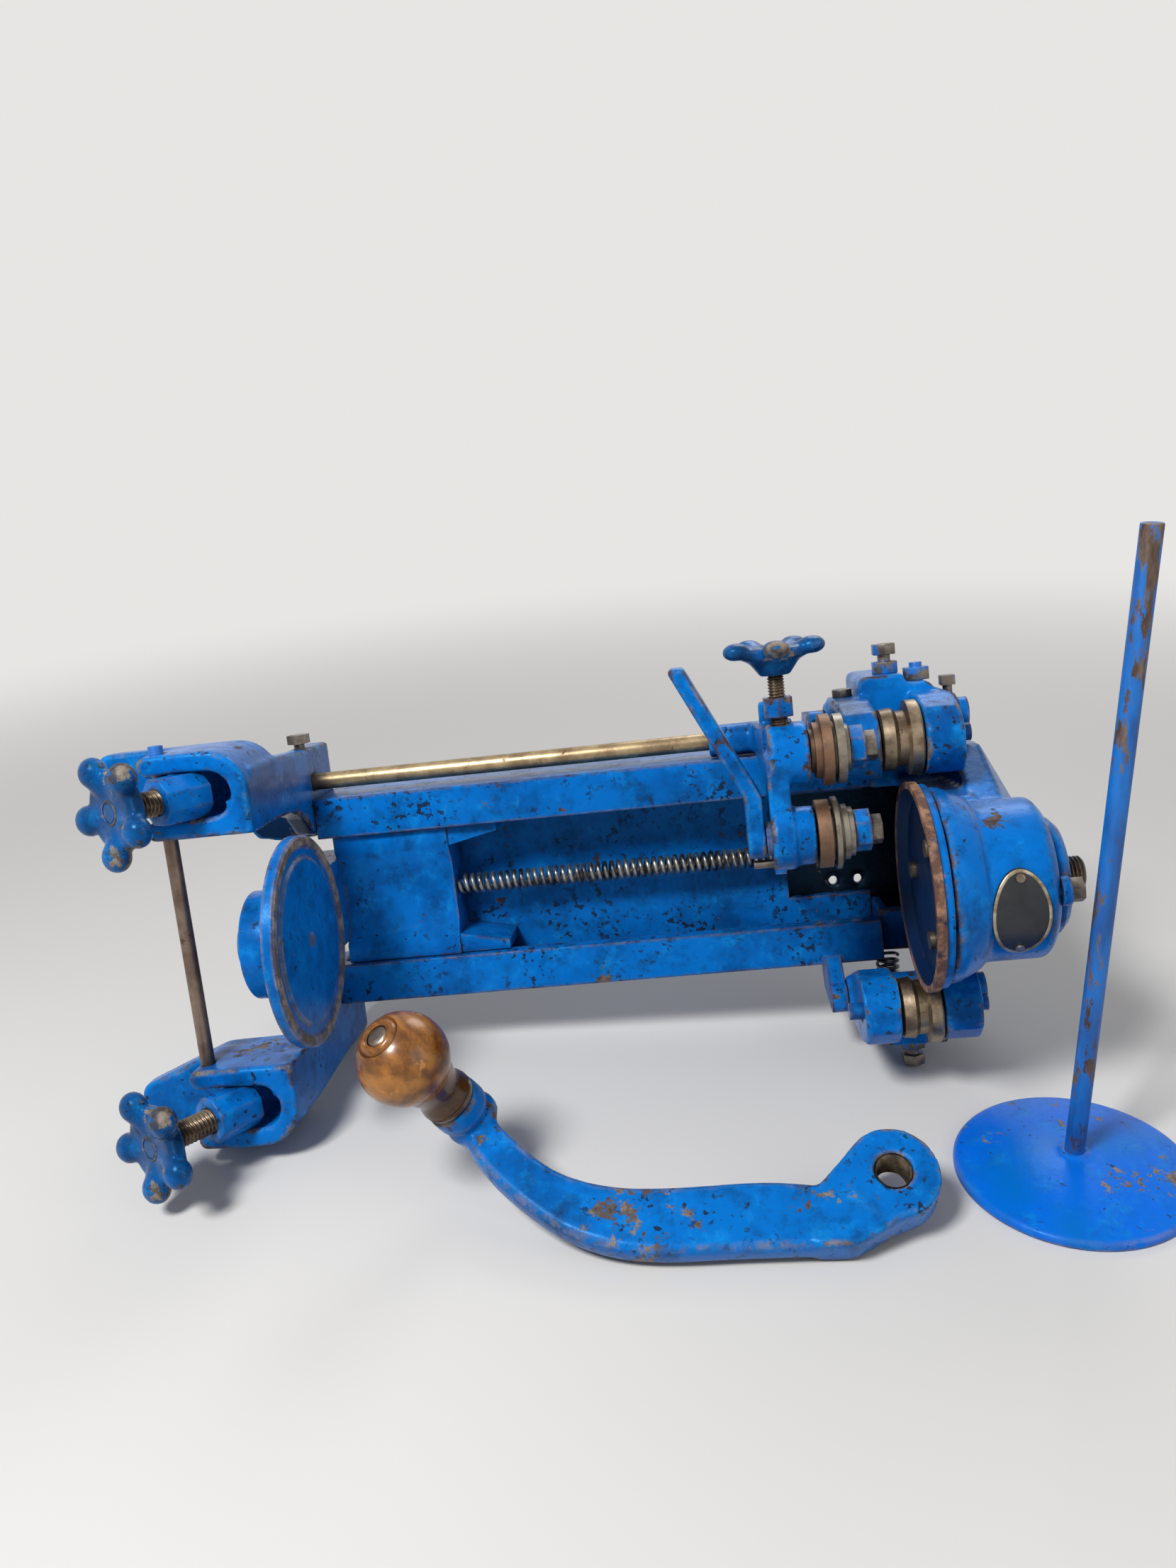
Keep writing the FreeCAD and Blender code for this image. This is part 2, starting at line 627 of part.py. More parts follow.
def upper_foot():
    rod_xs = (COLUMN_FOOT - SWING_ROD_ROOT, COLUMN_FOOT)
    rod_hole = along_x(SWING_ROD_R + SNUG, rod_xs, SWING_ROD_Y, SWING_ROD_Z)
    x = COLUMN_FOOT - SET_SCREW_OFF
    screw_hole = rod(SET_SCREW_R + SNUG, Vec(x, SWING_ROD_Y, SWING_ROD_Z), Vec(x, FOOT_OUTER, SWING_ROD_Z))
    return foot().cut(rod_hole).cut(screw_hole)


def lower_foot():
    return mirrored(foot())


def clamp_axis():
    a = math.radians(CLAMP_ANGLE)
    return Vec(-math.cos(a), 0, math.sin(a))


def clamp_point(out):
    """Point on the upper clamp's axis, measured outwards from the nut's outer face."""
    return Vec(NUT_HEAD[0], CLAMP_Y, NUT_HEAD[1]) + clamp_axis() * (NUT_LENGTH + out)


def clamp_nut():
    nut = prism(8, (SLOT_HALF - SNUG) * 2, clamp_point(-NUT_LENGTH), clamp_point(0))
    return nut.cut(rod(CLAMP_R + FIT, clamp_point(-NUT_LENGTH), clamp_point(0)))


def clamp_screw(out):
    return rod(CLAMP_R, clamp_point(-NUT_LENGTH - CLAMP_TIP), clamp_point(out))


def clamp_knob(out, turn):
    return star_knob(clamp_point(out), clamp_axis(), turn, **CLAMP_STAR)


def swing_rod():
    return along_x(SWING_ROD_R, (COLUMN_FOOT - SWING_ROD_ROOT, SWING_ROD_END), SWING_ROD_Y, SWING_ROD_Z)


def rod_set_screw():
    at = Vec(COLUMN_FOOT - SET_SCREW_OFF, 0, SWING_ROD_Z)
    up = Vec(0, 1, 0)
    top = at + up * (FLANK_OUTER + 3)
    shank = rod(SET_SCREW_R, at + up * (SWING_ROD_Y + SWING_ROD_R), top)
    return shank.fuse(prism(6, 11, top, top + up * 5))


def cross_rod():
    return cross_rod_line(CROSS_ROD_R)


def pivot_pin():
    y, z = YOKE_PIVOT
    pin = along_x(YOKE_PIN_R, (LUG_LEFT[0], LUG_RIGHT[1] + 1), y, z)
    return pin.fuse(along_x(YOKE_PIN_R + 2.5, (LUG_RIGHT[1], LUG_RIGHT[1] + 5), y, z))


def spring_post():
    web_face = COLUMN_BACK + WEB
    post = block((POST_FOOT, POST_HEAD), (-9, 9), (web_face, MAIN_Z + 9))
    peg = along_x(MAIN_R - MAIN_WIRE / 2 - GAP, (POST_FOOT - PEG, POST_FOOT), 0, MAIN_Z)
    return post.fuse(peg)


def main_spring():
    start = Vec(CARRIAGE_HEAD, 0, MAIN_Z)
    end = Vec(POST_FOOT, 0, MAIN_Z)
    turns = round((end - start).Length / MAIN_PITCH)
    return coil("main_spring", start, end, Vec(0, 0, 1), MAIN_R, MAIN_WIRE, turns)


def carriage():
    web_face = COLUMN_BACK + WEB + GAP
    channel = RAIL_OUTER - WALL - GAP
    neck = RAIL_INNER - GAP
    lip_back = RAIL_FACE - LIP - GAP
    xs = (CARRIAGE_FOOT, CARRIAGE_HEAD)
    body = block(xs, (-channel, channel), (web_face, lip_back))
    body = body.fuse(block(xs, (-neck, neck), (web_face, CARRIAGE_FACE)))
    trough = slab_x([(-29, CARRIAGE_FACE + 1), (-17, CARRIAGE_FACE - 6), (17, CARRIAGE_FACE - 6),
                     (29, CARRIAGE_FACE + 1)], xs)
    body = body.cut(trough)
    prong = slab_z([(CARRIAGE_HEAD - 4, neck), (PRONG_HEAD, neck), (PRONG_HEAD, neck - 5),
                    (CARRIAGE_HEAD, neck - 11), (CARRIAGE_HEAD - 4, neck - 11)],
                   (web_face, CARRIAGE_FACE - 2))
    bracket = block((BRACKET[0], CARRIAGE_FOOT + 1), (-24, 24), (web_face, 0))
    hub = along_x(HUB_R, BRACKET, 0, 0)
    peg = along_x(MAIN_R - MAIN_WIRE / 2 - GAP, (CARRIAGE_HEAD, CARRIAGE_HEAD + PEG), 0, MAIN_Z)
    body = fused([body, prong, mirrored(prong), bracket, hub, peg])
    return body.cut(along_x(DISC_PIN_R + FIT, BRACKET, 0, 0))


def can_disc():
    edge = DISC_R - 5
    return turned([(DISC_BACK, DISC_R), (DISC_FACE - 1, DISC_R), (DISC_FACE, DISC_R - 1.2),
                   (DISC_FACE, edge), (DISC_FACE - 1.4, edge - 1), (DISC_FACE - 1.4, DISC_R * 0.8),
                   (DISC_FACE, DISC_R * 0.78)])


def disc_pivot():
    back = BRACKET[0] - GAP
    pin = along_x(DISC_PIN_R, (back - 6, DISC_BACK), 0, 0)
    return pin.fuse(along_x(DISC_PIN_R + 5, (back - 6, back), 0, 0))


def roll_arm():
    upper, lower = ARM_UPPER_Y, ARM_LOWER_Y
    xs = ARM_PLATE
    top = SWING_ROD_Y + SLEEVE_R
    neck = slab_x([(RAIL_OUTER + GAP, SWING_ROD_Z), (top, SWING_ROD_Z), (upper + UPPER_BOSS_R - 1, ARM_Z - 4),
                   (upper - UPPER_BOSS_R + 2, ARM_Z - 8), (RAIL_OUTER + GAP, RAIL_FACE + 8, 6)], xs, 1.5)
    web = slab_x([(upper, ARM_Z - 13), (upper, ARM_Z + 13), (ARM_WAIST_Y, ARM_Z + 9, 12),
                  (lower, ARM_Z + 13), (lower, ARM_Z - 13), (ARM_WAIST_Y, ARM_Z - 9, 12)], xs, 1.5)
    parts = [neck, web]
    parts.append(along_x(SLEEVE_R, SLEEVE, SWING_ROD_Y, SWING_ROD_Z))
    parts.append(along_x(UPPER_BOSS_R, (xs[0] + 2, BOSS_END), upper, ARM_Z))
    parts.append(along_x(LOWER_BOSS_R + BOSS_RIM, xs, lower, ARM_Z))
    parts.append(along_x(LOWER_BOSS_R, (xs[0], BOSS_END), lower, ARM_Z))
    parts.append(block((xs[0], ARM_SCREW_X + 5), (upper, upper + 24), (ARM_Z - 16, ARM_Z - 9)))
    body = fused(parts)
    body = body.cut(along_x(SWING_ROD_R + FIT, SLEEVE, SWING_ROD_Y, SWING_ROD_Z))
    body = body.cut(along_x(STUD_R + SNUG, (xs[0] + STUD_SOCKET, BOSS_END), upper, ARM_Z))
    body = body.cut(along_x(STUD_R + FIT, (xs[0], BOSS_END), lower, ARM_Z))
    body = body.cut(along_x(STOP_PIN_R + SNUG, (xs[0], xs[0] + STOP_PIN_ROOT), STOP_PIN_Y, ARM_Z))
    return body.cut(rod(ARM_SCREW_R + FIT, arm_screw_tip(), Vec(ARM_SCREW_X, ARM_KNOB_SEAT, ARM_Z)))


def arm_screw_tip():
    return Vec(ARM_SCREW_X, ARM_UPPER_Y + STUD_R + 1, ARM_Z)


def stud(y, inner, nut):
    """Bolt through a boss of the arm; its head stands outside the nut."""
    head = Vec(nut[1] + SNUG, y, ARM_Z)
    shank = along_x(STUD_R, (inner, head.x + 1), y, ARM_Z)
    return shank.fuse(prism(6, STUD_HEAD_FLATS, head, head + Vec(STUD_HEAD, 0, 0)))


def stud_nut(y, nut):
    hexagon = prism(6, STUD_NUT_FLATS, Vec(nut[0], y, ARM_Z), Vec(nut[1], y, ARM_Z))
    return hexagon.cut(along_x(STUD_R + SNUG, nut, y, ARM_Z))


def flange_roll(profile, y):
    roll = turned(profile, y, ARM_Z)
    xs = (profile[0][0], profile[-1][0])
    return roll.cut(along_x(STUD_R + FIT, xs, y, ARM_Z))


def upper_stud():
    return stud(ARM_UPPER_Y, ARM_PLATE[0] + STUD_SOCKET, UPPER_NUT)


def lower_stud():
    return stud(ARM_LOWER_Y, LEVER[0], LOWER_NUT)


def stud_nuts():
    return Part.makeCompound([stud_nut(ARM_UPPER_Y, UPPER_NUT), stud_nut(ARM_LOWER_Y, LOWER_NUT)])


def lever_washer():
    xs = (LEVER[1] + GAP, ARM_PLATE[0])
    return along_x(LEVER_R - 1, xs, ARM_LOWER_Y, ARM_Z).cut(along_x(STUD_R + SNUG, xs, ARM_LOWER_Y, ARM_Z))


def bent_lever():
    y, z = ARM_LOWER_Y, ARM_Z
    left, right = LEVER
    tip_x, tip_y = LEVER_TIP
    bar = slab_z([(left, y), (right, y), (right, LEVER_KNEE_Y, 10), (tip_x + right - left, tip_y, 2),
                  (tip_x, tip_y, 2), (left, LEVER_KNEE_Y, 18)], (z - LEVER_HALF, z + LEVER_HALF), 1.5)
    return fused([bar, along_x(LEVER_R, LEVER, y, z)]).cut(along_x(STUD_R + FIT, LEVER, y, z))


def stop_pin():
    return along_x(STOP_PIN_R, (LEVER[0] + 2, ARM_PLATE[0] + STOP_PIN_ROOT), STOP_PIN_Y, ARM_Z)


def arm_nut():
    low = Vec(ARM_SCREW_X, ARM_UPPER_Y + UPPER_BOSS_R + ARM_NUT_OUT, ARM_Z)
    high = low + Vec(0, ARM_NUT, 0)
    return prism(6, ARM_NUT_FLATS, low, high).cut(rod(ARM_SCREW_R + FIT, low, high))


def arm_screw():
    return rod(ARM_SCREW_R, arm_screw_tip(), Vec(ARM_SCREW_X, ARM_KNOB_SEAT, ARM_Z))


def arm_knob():
    return star_knob(Vec(ARM_SCREW_X, ARM_KNOB_SEAT, ARM_Z), Vec(0, 1, 0), ARM_STAR_TURN, **ARM_STAR)


def yoke():
    y, z = YOKE_PIVOT
    ay, az = YOKE_AXLE
    ear = [(ay - 19, az + 10, 5), (ay - 9, az + 18, 5), (ay + 6, az + 18, 6), (ay + 15, az + 9, 6),
           (EAR_TOP, az - 8, 5), (EAR_TOP, z - 6, 4), (y + 8, z - 11, 4), (y - 8, z - 9, 4), (y - 13, z, 4),
           (ay - 17, az - 14, 8)]
    right = YOKE_RIGHT[1]
    bridge = slab_z([(BRIDGE_LEFT, y), (BRIDGE_LEFT, BRIDGE_TOP, 4), (10, BRIDGE_TOP, 2),
                     (11, BRIDGE_STEP, 2), (22, BRIDGE_STEP, 4), (right, EAR_TOP - 5, 3), (right, y)],
                    (RETURN_Z - 7, BRIDGE_FRONT), 1.0)
    barrel = along_x(YOKE_BARREL_R, (LUG_LEFT[1] + GAP, LUG_RIGHT[0] - GAP), y, z)
    ears = [slab_x(ear, xs, 1.5) for xs in (YOKE_LEFT, YOKE_RIGHT)]
    body = fused(ears + [bridge, barrel])
    body = body.cut(along_x(YOKE_PIN_R + FIT, (LUG_LEFT[1], LUG_RIGHT[0]), y, z))
    body = body.cut(along_x(AXLE_R + SNUG, AXLE_ENDS, ay, az))
    for top, radius, depth in yoke_screws():
        body = body.cut(rod(radius + SNUG, top - Vec(0, depth, 0), top))
    return body


def yoke_screws():
    """Holes in the yoke's top: mouth, radius and depth."""
    return [(Vec(YOKE_BOLT_X, BRIDGE_TOP, YOKE_BOLT_Z), YOKE_BOLT_R, 12),
            (Vec(YOKE_STUD_X, BRIDGE_STEP, YOKE_BOLT_Z), YOKE_BOLT_R, 7),
            (Vec(EAR_SCREW_X, EAR_TOP, YOKE_BOLT_Z), EAR_SCREW_R, 2.5)]


def yoke_bolts():
    """A bolt with its lock nut, a stud with its nut, and a low screw on the ear."""
    up = Vec(0, 1, 0)
    (top, radius, depth), (step, stud_r, stud_depth), (ear, screw_r, screw_depth) = yoke_screws()
    lock_bolt = fused([rod(radius, top - up * depth, top + up * 10), prism(6, 12, top, top + up * 6),
                       prism(6, 11, top + up * 9.5, top + up * 15)])
    short_stud = fused([rod(stud_r, step - up * stud_depth, step + up * 9),
                        prism(6, 12, step, step + up * 6.5)])
    ear_screw = fused([rod(screw_r, ear - up * screw_depth, ear + up), rod(5, ear, ear + up * 4)])
    return Part.makeCompound([lock_bolt, short_stud, ear_screw])


def yoke_axle():
    return along_x(AXLE_R, AXLE_ENDS, *YOKE_AXLE)


def seaming_roll():
    y, z = YOKE_AXLE
    xs = (SEAM_ROLL[0][0], SEAM_ROLL[-1][0])
    return turned(SEAM_ROLL, y, z).cut(along_x(AXLE_R + FIT, xs, y, z))


def return_spring(name):
    start = Vec(RETURN_X, RAIL_OUTER, RETURN_Z)
    end = Vec(RETURN_X, YOKE_PIVOT[0], RETURN_Z)
    return coil(name, start, end, Vec(1, 0, 0), RETURN_R, RETURN_WIRE, RETURN_TURNS)


def lug_screw():
    """Square-headed screw that locks the pivot pin in the head's lug."""
    up = Vec(0, 1, 0)
    seat = Vec(sum(LUG_RIGHT) / 2, YOKE_PIVOT[0] + LUG_R, YOKE_PIVOT[1])
    return rod(LUG_SCREW_R, seat - up * 2, seat + up * 4).fuse(prism(4, 7, seat + up * 4, seat + up * 9))


def smooth(points):
    """Smooth curve through points."""
    curve = Part.BSplineCurve()
    curve.interpolate(points)
    return curve.toShape()


def crank_arm():
    top = -ARM_DROP - ARM_THICK
    far = [Vec(x, y, top) for x, y in ARM_FAR]
    near = [Vec(x, y, top) for x, y in ARM_NEAR]
    edges = [smooth(far), Part.makeLine(far[-1], near[-1]), smooth(near), Part.makeLine(near[0], far[0])]
    bar = Part.Face(Part.Wire(Part.__sortEdges__(edges))).extrude(Vec(0, 0, ARM_THICK))
    bar = bar.makeFillet(ARM_THICK * 0.25, [e for e in bar.Edges if e.Length > 100])
    root_far, root_near = far[-1], near[-1]
    shoulder = [Vec(root_far.x - 4, root_far.y, 0), Vec(-14, 15, 0), Vec(2, 0, 0), Vec(2, -EYE_R, 0),
                Vec(-20, root_near.y, 0), Vec(root_near.x - 4, root_near.y, 0)]
    knuckle = slab([(p - Vec(0, 0, EYE_THICK), 0.0) for p in shoulder], Vec(0, 0, EYE_THICK - ARM_DROP / 2))
    eye = rod(EYE_R, Vec(0, 0, -EYE_THICK), Vec(0, 0, 0))
    boss = rod(COLLAR_R, handle_point(0), handle_point(COLLAR_LENGTH))
    body = fused([bar, knuckle, eye, boss])
    body = body.cut(rod(CRANK_HOLE_R, Vec(0, 0, -EYE_THICK), Vec(0, 0, 0)))
    return body.cut(rod(HANDLE_PIN_R + SNUG, handle_point(PIN_ROOT), handle_point(COLLAR_LENGTH)))


def handle_point(out):
    """Point on the handle's axis, measured from the crank arm."""
    return HANDLE_BASE + Vec(HANDLE_AXIS).normalize() * out


def handle_pin():
    tip = KNOB_CENTRE + KNOB_R
    head = rod(HANDLE_PIN_R + PIN_HEAD, handle_point(tip - 3), handle_point(tip - 0.5))
    return head.fuse(rod(HANDLE_PIN_R, handle_point(PIN_ROOT), handle_point(tip - 1)))


def crank_knob():
    """Turned wooden knob: a flared neck, a waist and a ball."""
    foot_x = COLLAR_LENGTH + GAP
    ball = [(KNOB_CENTRE + KNOB_R * math.sin(a), KNOB_R * math.cos(a))
            for a in (math.radians(d) for d in range(-48, 69, 12))]
    profile = [(foot_x, 12.5), (foot_x + 5, 13), (foot_x + 10, 11.5)] + ball
    points = [Vec(x, r, 0) for x, r in profile]
    top = points[-1]
    edges = [Part.makeLine(Vec(foot_x, 0, 0), points[0]), Part.makeLine(points[0], points[1]),
             Part.makeLine(points[1], points[2]), smooth(points[2:]), Part.makeLine(top, Vec(top.x, 0, 0)),
             Part.makeLine(Vec(top.x, 0, 0), Vec(foot_x, 0, 0))]
    knob = Part.Face(Part.Wire(edges)).revolve(Vec(0, 0, 0), Vec(1, 0, 0), 360)
    knob = knob.cut(along_x(HANDLE_PIN_R + FIT, (foot_x, top.x), 0, 0))
    knob = knob.cut(along_x(HANDLE_PIN_R + PIN_HEAD + FIT, (KNOB_CENTRE + KNOB_R - 3 - GAP, top.x), 0, 0))
    knob.Placement = FreeCAD.Placement(HANDLE_BASE, FreeCAD.Rotation(Vec(1, 0, 0), HANDLE_AXIS))
    return knob


def loose_plate():
    """Shallow dish, domed side up, with a bored boss for its rod."""
    sphere_r = (PLATE_R ** 2 + PLATE_RISE ** 2) / (2 * PLATE_RISE)
    centre = PLATE_AT + Vec(0, 0, PLATE_RISE - sphere_r + PLATE_THICK)
    disc = rod(PLATE_R, PLATE_AT, PLATE_AT + Vec(0, 0, 40))
    dish = disc.common(Part.makeSphere(sphere_r, centre))
    dish = dish.cut(Part.makeSphere(sphere_r - PLATE_THICK, centre))
    foot_z = PLATE_RISE + PLATE_THICK
    boss = rod(PLATE_ROD_R + 4, PLATE_AT + Vec(0, 0, foot_z - PLATE_THICK - 2),
               PLATE_AT + Vec(0, 0, foot_z + 2))
    return fused([dish, boss]).cut(plate_rod_line(SNUG, foot_z + 40))


def plate_rod_line(extra, length):
    a = math.radians(PLATE_ROD_LEAN)
    lean = Vec(math.sin(a), 0, math.cos(a))
    start = PLATE_AT + Vec(0, 0, PLATE_RISE - 1)
    return rod(PLATE_ROD_R + extra, start, start + lean * length)


def plate_rod():
    return plate_rod_line(0, PLATE_ROD_LENGTH)


def machine_pieces():
    axle = yoke_axle()
    roll = seaming_roll()
    bolts = yoke_bolts()
    pin = pivot_pin()
    yoke_body = yoke()
    screws = [lug_screw(), mirrored(lug_screw())]
    nut = clamp_nut()
    return {
        "column": column(),
        "upper_foot": upper_foot(),
        "lower_foot": lower_foot(),
        "head_casting": head_casting().cut(screws[0]).cut(screws[1]),
        "head_bolts": head_bolts(),
        "bearing_cap": bearing_cap(),
        "cap_bolts": cap_bolts(),
        "nameplate": nameplate(),
        "nameplate_rivets": nameplate_rivets(),
        "swing_rod": swing_rod(),
        "rod_set_screw": rod_set_screw(),
        "cross_rod": cross_rod(),
        "upper_clamp_nut": nut,
        "lower_clamp_nut": mirrored(nut),
        "upper_pivot_pin": pin,
        "lower_pivot_pin": mirrored(pin),
        "lug_screws": Part.makeCompound(screws),
        "spring_post": spring_post(),
        "upper_clamp_screw": clamp_screw(UPPER_KNOB_OUT),
        "upper_clamp_knob": clamp_knob(UPPER_KNOB_OUT, UPPER_STAR_TURN),
        "lower_clamp_screw": mirrored(clamp_screw(LOWER_KNOB_OUT)),
        "lower_clamp_knob": mirrored(clamp_knob(LOWER_KNOB_OUT, LOWER_STAR_TURN)),
        "spindle": spindle(),
        "chuck": chuck(),
        "chuck_screws": chuck_screws(),
        "carriage": carriage(),
        "main_spring": main_spring(),
        "can_disc": can_disc(),
        "disc_pivot": disc_pivot(),
        "roll_arm": roll_arm(),
        "upper_stud": upper_stud(),
        "lower_stud": lower_stud(),
        "stud_nuts": stud_nuts(),
        "upper_flange_roll": flange_roll(UPPER_ROLL, ARM_UPPER_Y),
        "lower_flange_roll": flange_roll(LOWER_ROLL, ARM_LOWER_Y),
        "lever_washer": lever_washer(),
        "bent_lever": bent_lever(),
        "stop_pin": stop_pin(),
        "arm_nut": arm_nut(),
        "arm_screw": arm_screw(),
        "arm_knob": arm_knob(),
        "upper_yoke": yoke_body,
        "upper_roll_axle": axle,
        "upper_seaming_roll": roll,
        "upper_yoke_bolts": bolts,
        "upper_return_spring": return_spring("upper_return_spring"),
        "lower_yoke": mirrored(yoke_body),
        "lower_roll_axle": mirrored(axle),
        "lower_seaming_roll": mirrored(roll),
        "lower_yoke_bolts": mirrored(bolts),
        "lower_return_spring": mirrored(return_spring("lower_return_spring")),
    }


def crank_pieces():
    """Crank parts laid in the bench frame: tilted, then lowered until they touch the bench."""
    pieces = {"crank_arm": crank_arm(), "handle_pin": handle_pin(), "crank_knob": crank_knob()}
    tilt = FreeCAD.Placement(CRANK_AT, FreeCAD.Rotation(Vec(1, 0, 0), CRANK_TILT))
    for shape in pieces.values():
        shape.Placement = tilt.multiply(shape.Placement)
    drop = min(p.z for p in points_of(pieces.values()))
    for shape in pieces.values():
        shape.translate(Vec(0, 0, -drop))
    return pieces


def plate_pieces():
    return {"loose_plate": loose_plate(), "plate_rod": plate_rod()}


def lie_matrix():
    """Machine axes in the row frame while the machine lies on its side."""
    pitch = math.radians(LIE_PITCH)
    roll = math.radians(LIE_ROLL)
    u = Vec(math.cos(pitch), 0, math.sin(pitch))
    out = Vec(0, -1, 0)
    side = Vec(-math.sin(pitch), 0, math.cos(pitch))
    w = out * math.cos(roll) + side * math.sin(roll)
    v = side * math.cos(roll) - out * math.sin(roll)
    return u, v, w


def placement(u, v, w, at):
    return FreeCAD.Placement(FreeCAD.Matrix(u.x, v.x, w.x, at.x, u.y, v.y, w.y, at.y,
                                            u.z, v.z, w.z, at.z, 0, 0, 0, 1))


def points_of(shapes):
    return [p for shape in shapes for p in shape.tessellate(0.2)[0]]


def assemble():
    """Every piece in the row frame, and the placement that carries the machine frame there."""
    machine = machine_pieces()
    loose = {**crank_pieces(), **plate_pieces()}
    u, v, w = lie_matrix()
    machine_points = points_of(machine.values())
    lift = -min(u.z * p.x + v.z * p.y + w.z * p.z for p in machine_points)
    spots = [u * p.x + v * p.y + w * p.z for p in machine_points] + points_of(loose.values())
    centre = Vec((min(p.x for p in spots) + max(p.x for p in spots)) / 2,
                 (min(p.y for p in spots) + max(p.y for p in spots)) / 2, 0)
    lie = placement(u, v, w, Vec(0, 0, lift) - centre)
    pieces = {}
    for name, shape in machine.items():
        pieces[name] = shape.copy()
        pieces[name].Placement = lie.multiply(shape.Placement)
    for name, shape in loose.items():
        pieces[name] = shape.copy()
        pieces[name].Placement = FreeCAD.Placement(centre * -1, FreeCAD.Rotation()).multiply(shape.Placement)
    return pieces, lie, centre


def main():
    os.makedirs("parts", exist_ok=True)
    pieces, lie, centre = assemble()
    for name, shape in pieces.items():
        shape.exportStep("parts/" + name + ".step")


main()
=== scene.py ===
"""Looks of the hand-cranked can seamer: worn blue castings, browned steel, a turned wooden knob."""
import json
import math

import bmesh
import bpy
from mathutils import Matrix, Vector


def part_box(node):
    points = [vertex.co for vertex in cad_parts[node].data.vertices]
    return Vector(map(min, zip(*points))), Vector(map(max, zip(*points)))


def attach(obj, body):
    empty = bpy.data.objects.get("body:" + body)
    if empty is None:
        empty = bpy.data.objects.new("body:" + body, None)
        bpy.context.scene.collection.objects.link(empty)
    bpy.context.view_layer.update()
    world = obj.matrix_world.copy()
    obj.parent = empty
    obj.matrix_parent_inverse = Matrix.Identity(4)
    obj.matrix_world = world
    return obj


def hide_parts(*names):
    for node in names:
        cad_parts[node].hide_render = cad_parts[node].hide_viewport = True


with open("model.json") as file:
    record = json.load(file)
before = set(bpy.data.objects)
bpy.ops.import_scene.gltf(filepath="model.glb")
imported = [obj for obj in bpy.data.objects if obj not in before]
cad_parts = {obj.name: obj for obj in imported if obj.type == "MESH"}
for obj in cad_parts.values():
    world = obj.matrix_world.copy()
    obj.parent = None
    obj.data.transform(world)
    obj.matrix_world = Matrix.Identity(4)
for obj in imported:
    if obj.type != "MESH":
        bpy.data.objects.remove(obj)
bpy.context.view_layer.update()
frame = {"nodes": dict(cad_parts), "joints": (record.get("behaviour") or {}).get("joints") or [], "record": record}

NODES = frame["nodes"]
RECORD = frame["record"]
BODY_OF = {n: b for b, nodes in RECORD["behaviour"]["bodies"].items() for n in nodes}
SLOT_OF = {part["node"]: part["material_slot"] for part in RECORD["subparts"]}
JOINTS = {joint["name"]: joint for joint in frame["joints"]}
EYE = next(mount for mount in RECORD["mounts"] if mount["name"] == "crank_eye")
MM = 0.001


def line_of(entry):
    """Point and unit axis of a hinge or a mount."""
    return Vector(entry["pos_m"]), Vector(entry["axis"]).normalized()


# Machine axes, read from the joints: u along the column, v across the rails, w out of the open side
CHUCK, U = line_of(JOINTS["chuck_spin"])
V = Vector(JOINTS["arm_screw_feed"]["axis"]).normalized()
W = U.cross(V)
DISC = line_of(JOINTS["disc_spin"])[0]

# Camera, fitted to the photograph and placed from the chuck; degrees and millimetres
CAMERA_FROM_CHUCK = Vector((-106.5, -515.9, 244.8)) * MM
CAMERA_TURN = 4.99
CAMERA_DOWN = 19.54
CAMERA_ROLL = -4.86
LENS_MM = 26.88
SENSOR_MM = 36.0
CLIP_START_M = 0.01

# Paint colours, linear as all that follow
BLUE = (0.001, 0.135, 0.49)
# BLUE_LIGHT: rubbed patches, and the painted highlight along edges
BLUE_LIGHT = (0.006, 0.235, 0.64)
BLUE_DEEP = (0.0009, 0.066, 0.265)
BLUE_BRIGHT = (0.001, 0.132, 0.66)
STAR_BLUE = (0.002, 0.085, 0.30)
STAR_DEEP = (0.004, 0.016, 0.05)
# Dark navy of the chuck's face: the blue paint darkened as painted shade
CHUCK_FACE_SHADE_NAVY = (0.0035, 0.012, 0.045)
SHADED_BLUE = (0.0008, 0.010, 0.040)
# Black of the window behind the chuck: painted shadow
WINDOW_SHADE_BLACK = (0.003, 0.003, 0.004)
# Grime smudges, and painted shade in corners and deep pockets
GRIME_AND_SHADE_TONE = (0.0035, 0.0065, 0.012)
SPECK = (0.010, 0.009, 0.010)
PAINT_SHEEN = (0.16, 0.52, 1.0)

# Metal where paint is gone
RUST = (0.055, 0.027, 0.016)
GREY_BROWN = (0.135, 0.095, 0.068)
BARE_CAST = (0.19, 0.145, 0.105)
BARE_PLATE = (0.24, 0.19, 0.155)
BARE_CRANK = (0.23, 0.18, 0.14)
BARE_CRANK_DARK = (0.09, 0.06, 0.042)
BARE_STAR = (0.24, 0.19, 0.145)
BARE_STAR_DARK = (0.045, 0.037, 0.032)
BARE_DISC = (0.30, 0.23, 0.16)
BARE_DISC_DARK = (0.11, 0.08, 0.055)
BARE_BOLT = (0.20, 0.165, 0.125)
COPPER = (0.30, 0.165, 0.095)
COPPER_DARK = (0.11, 0.052, 0.028)

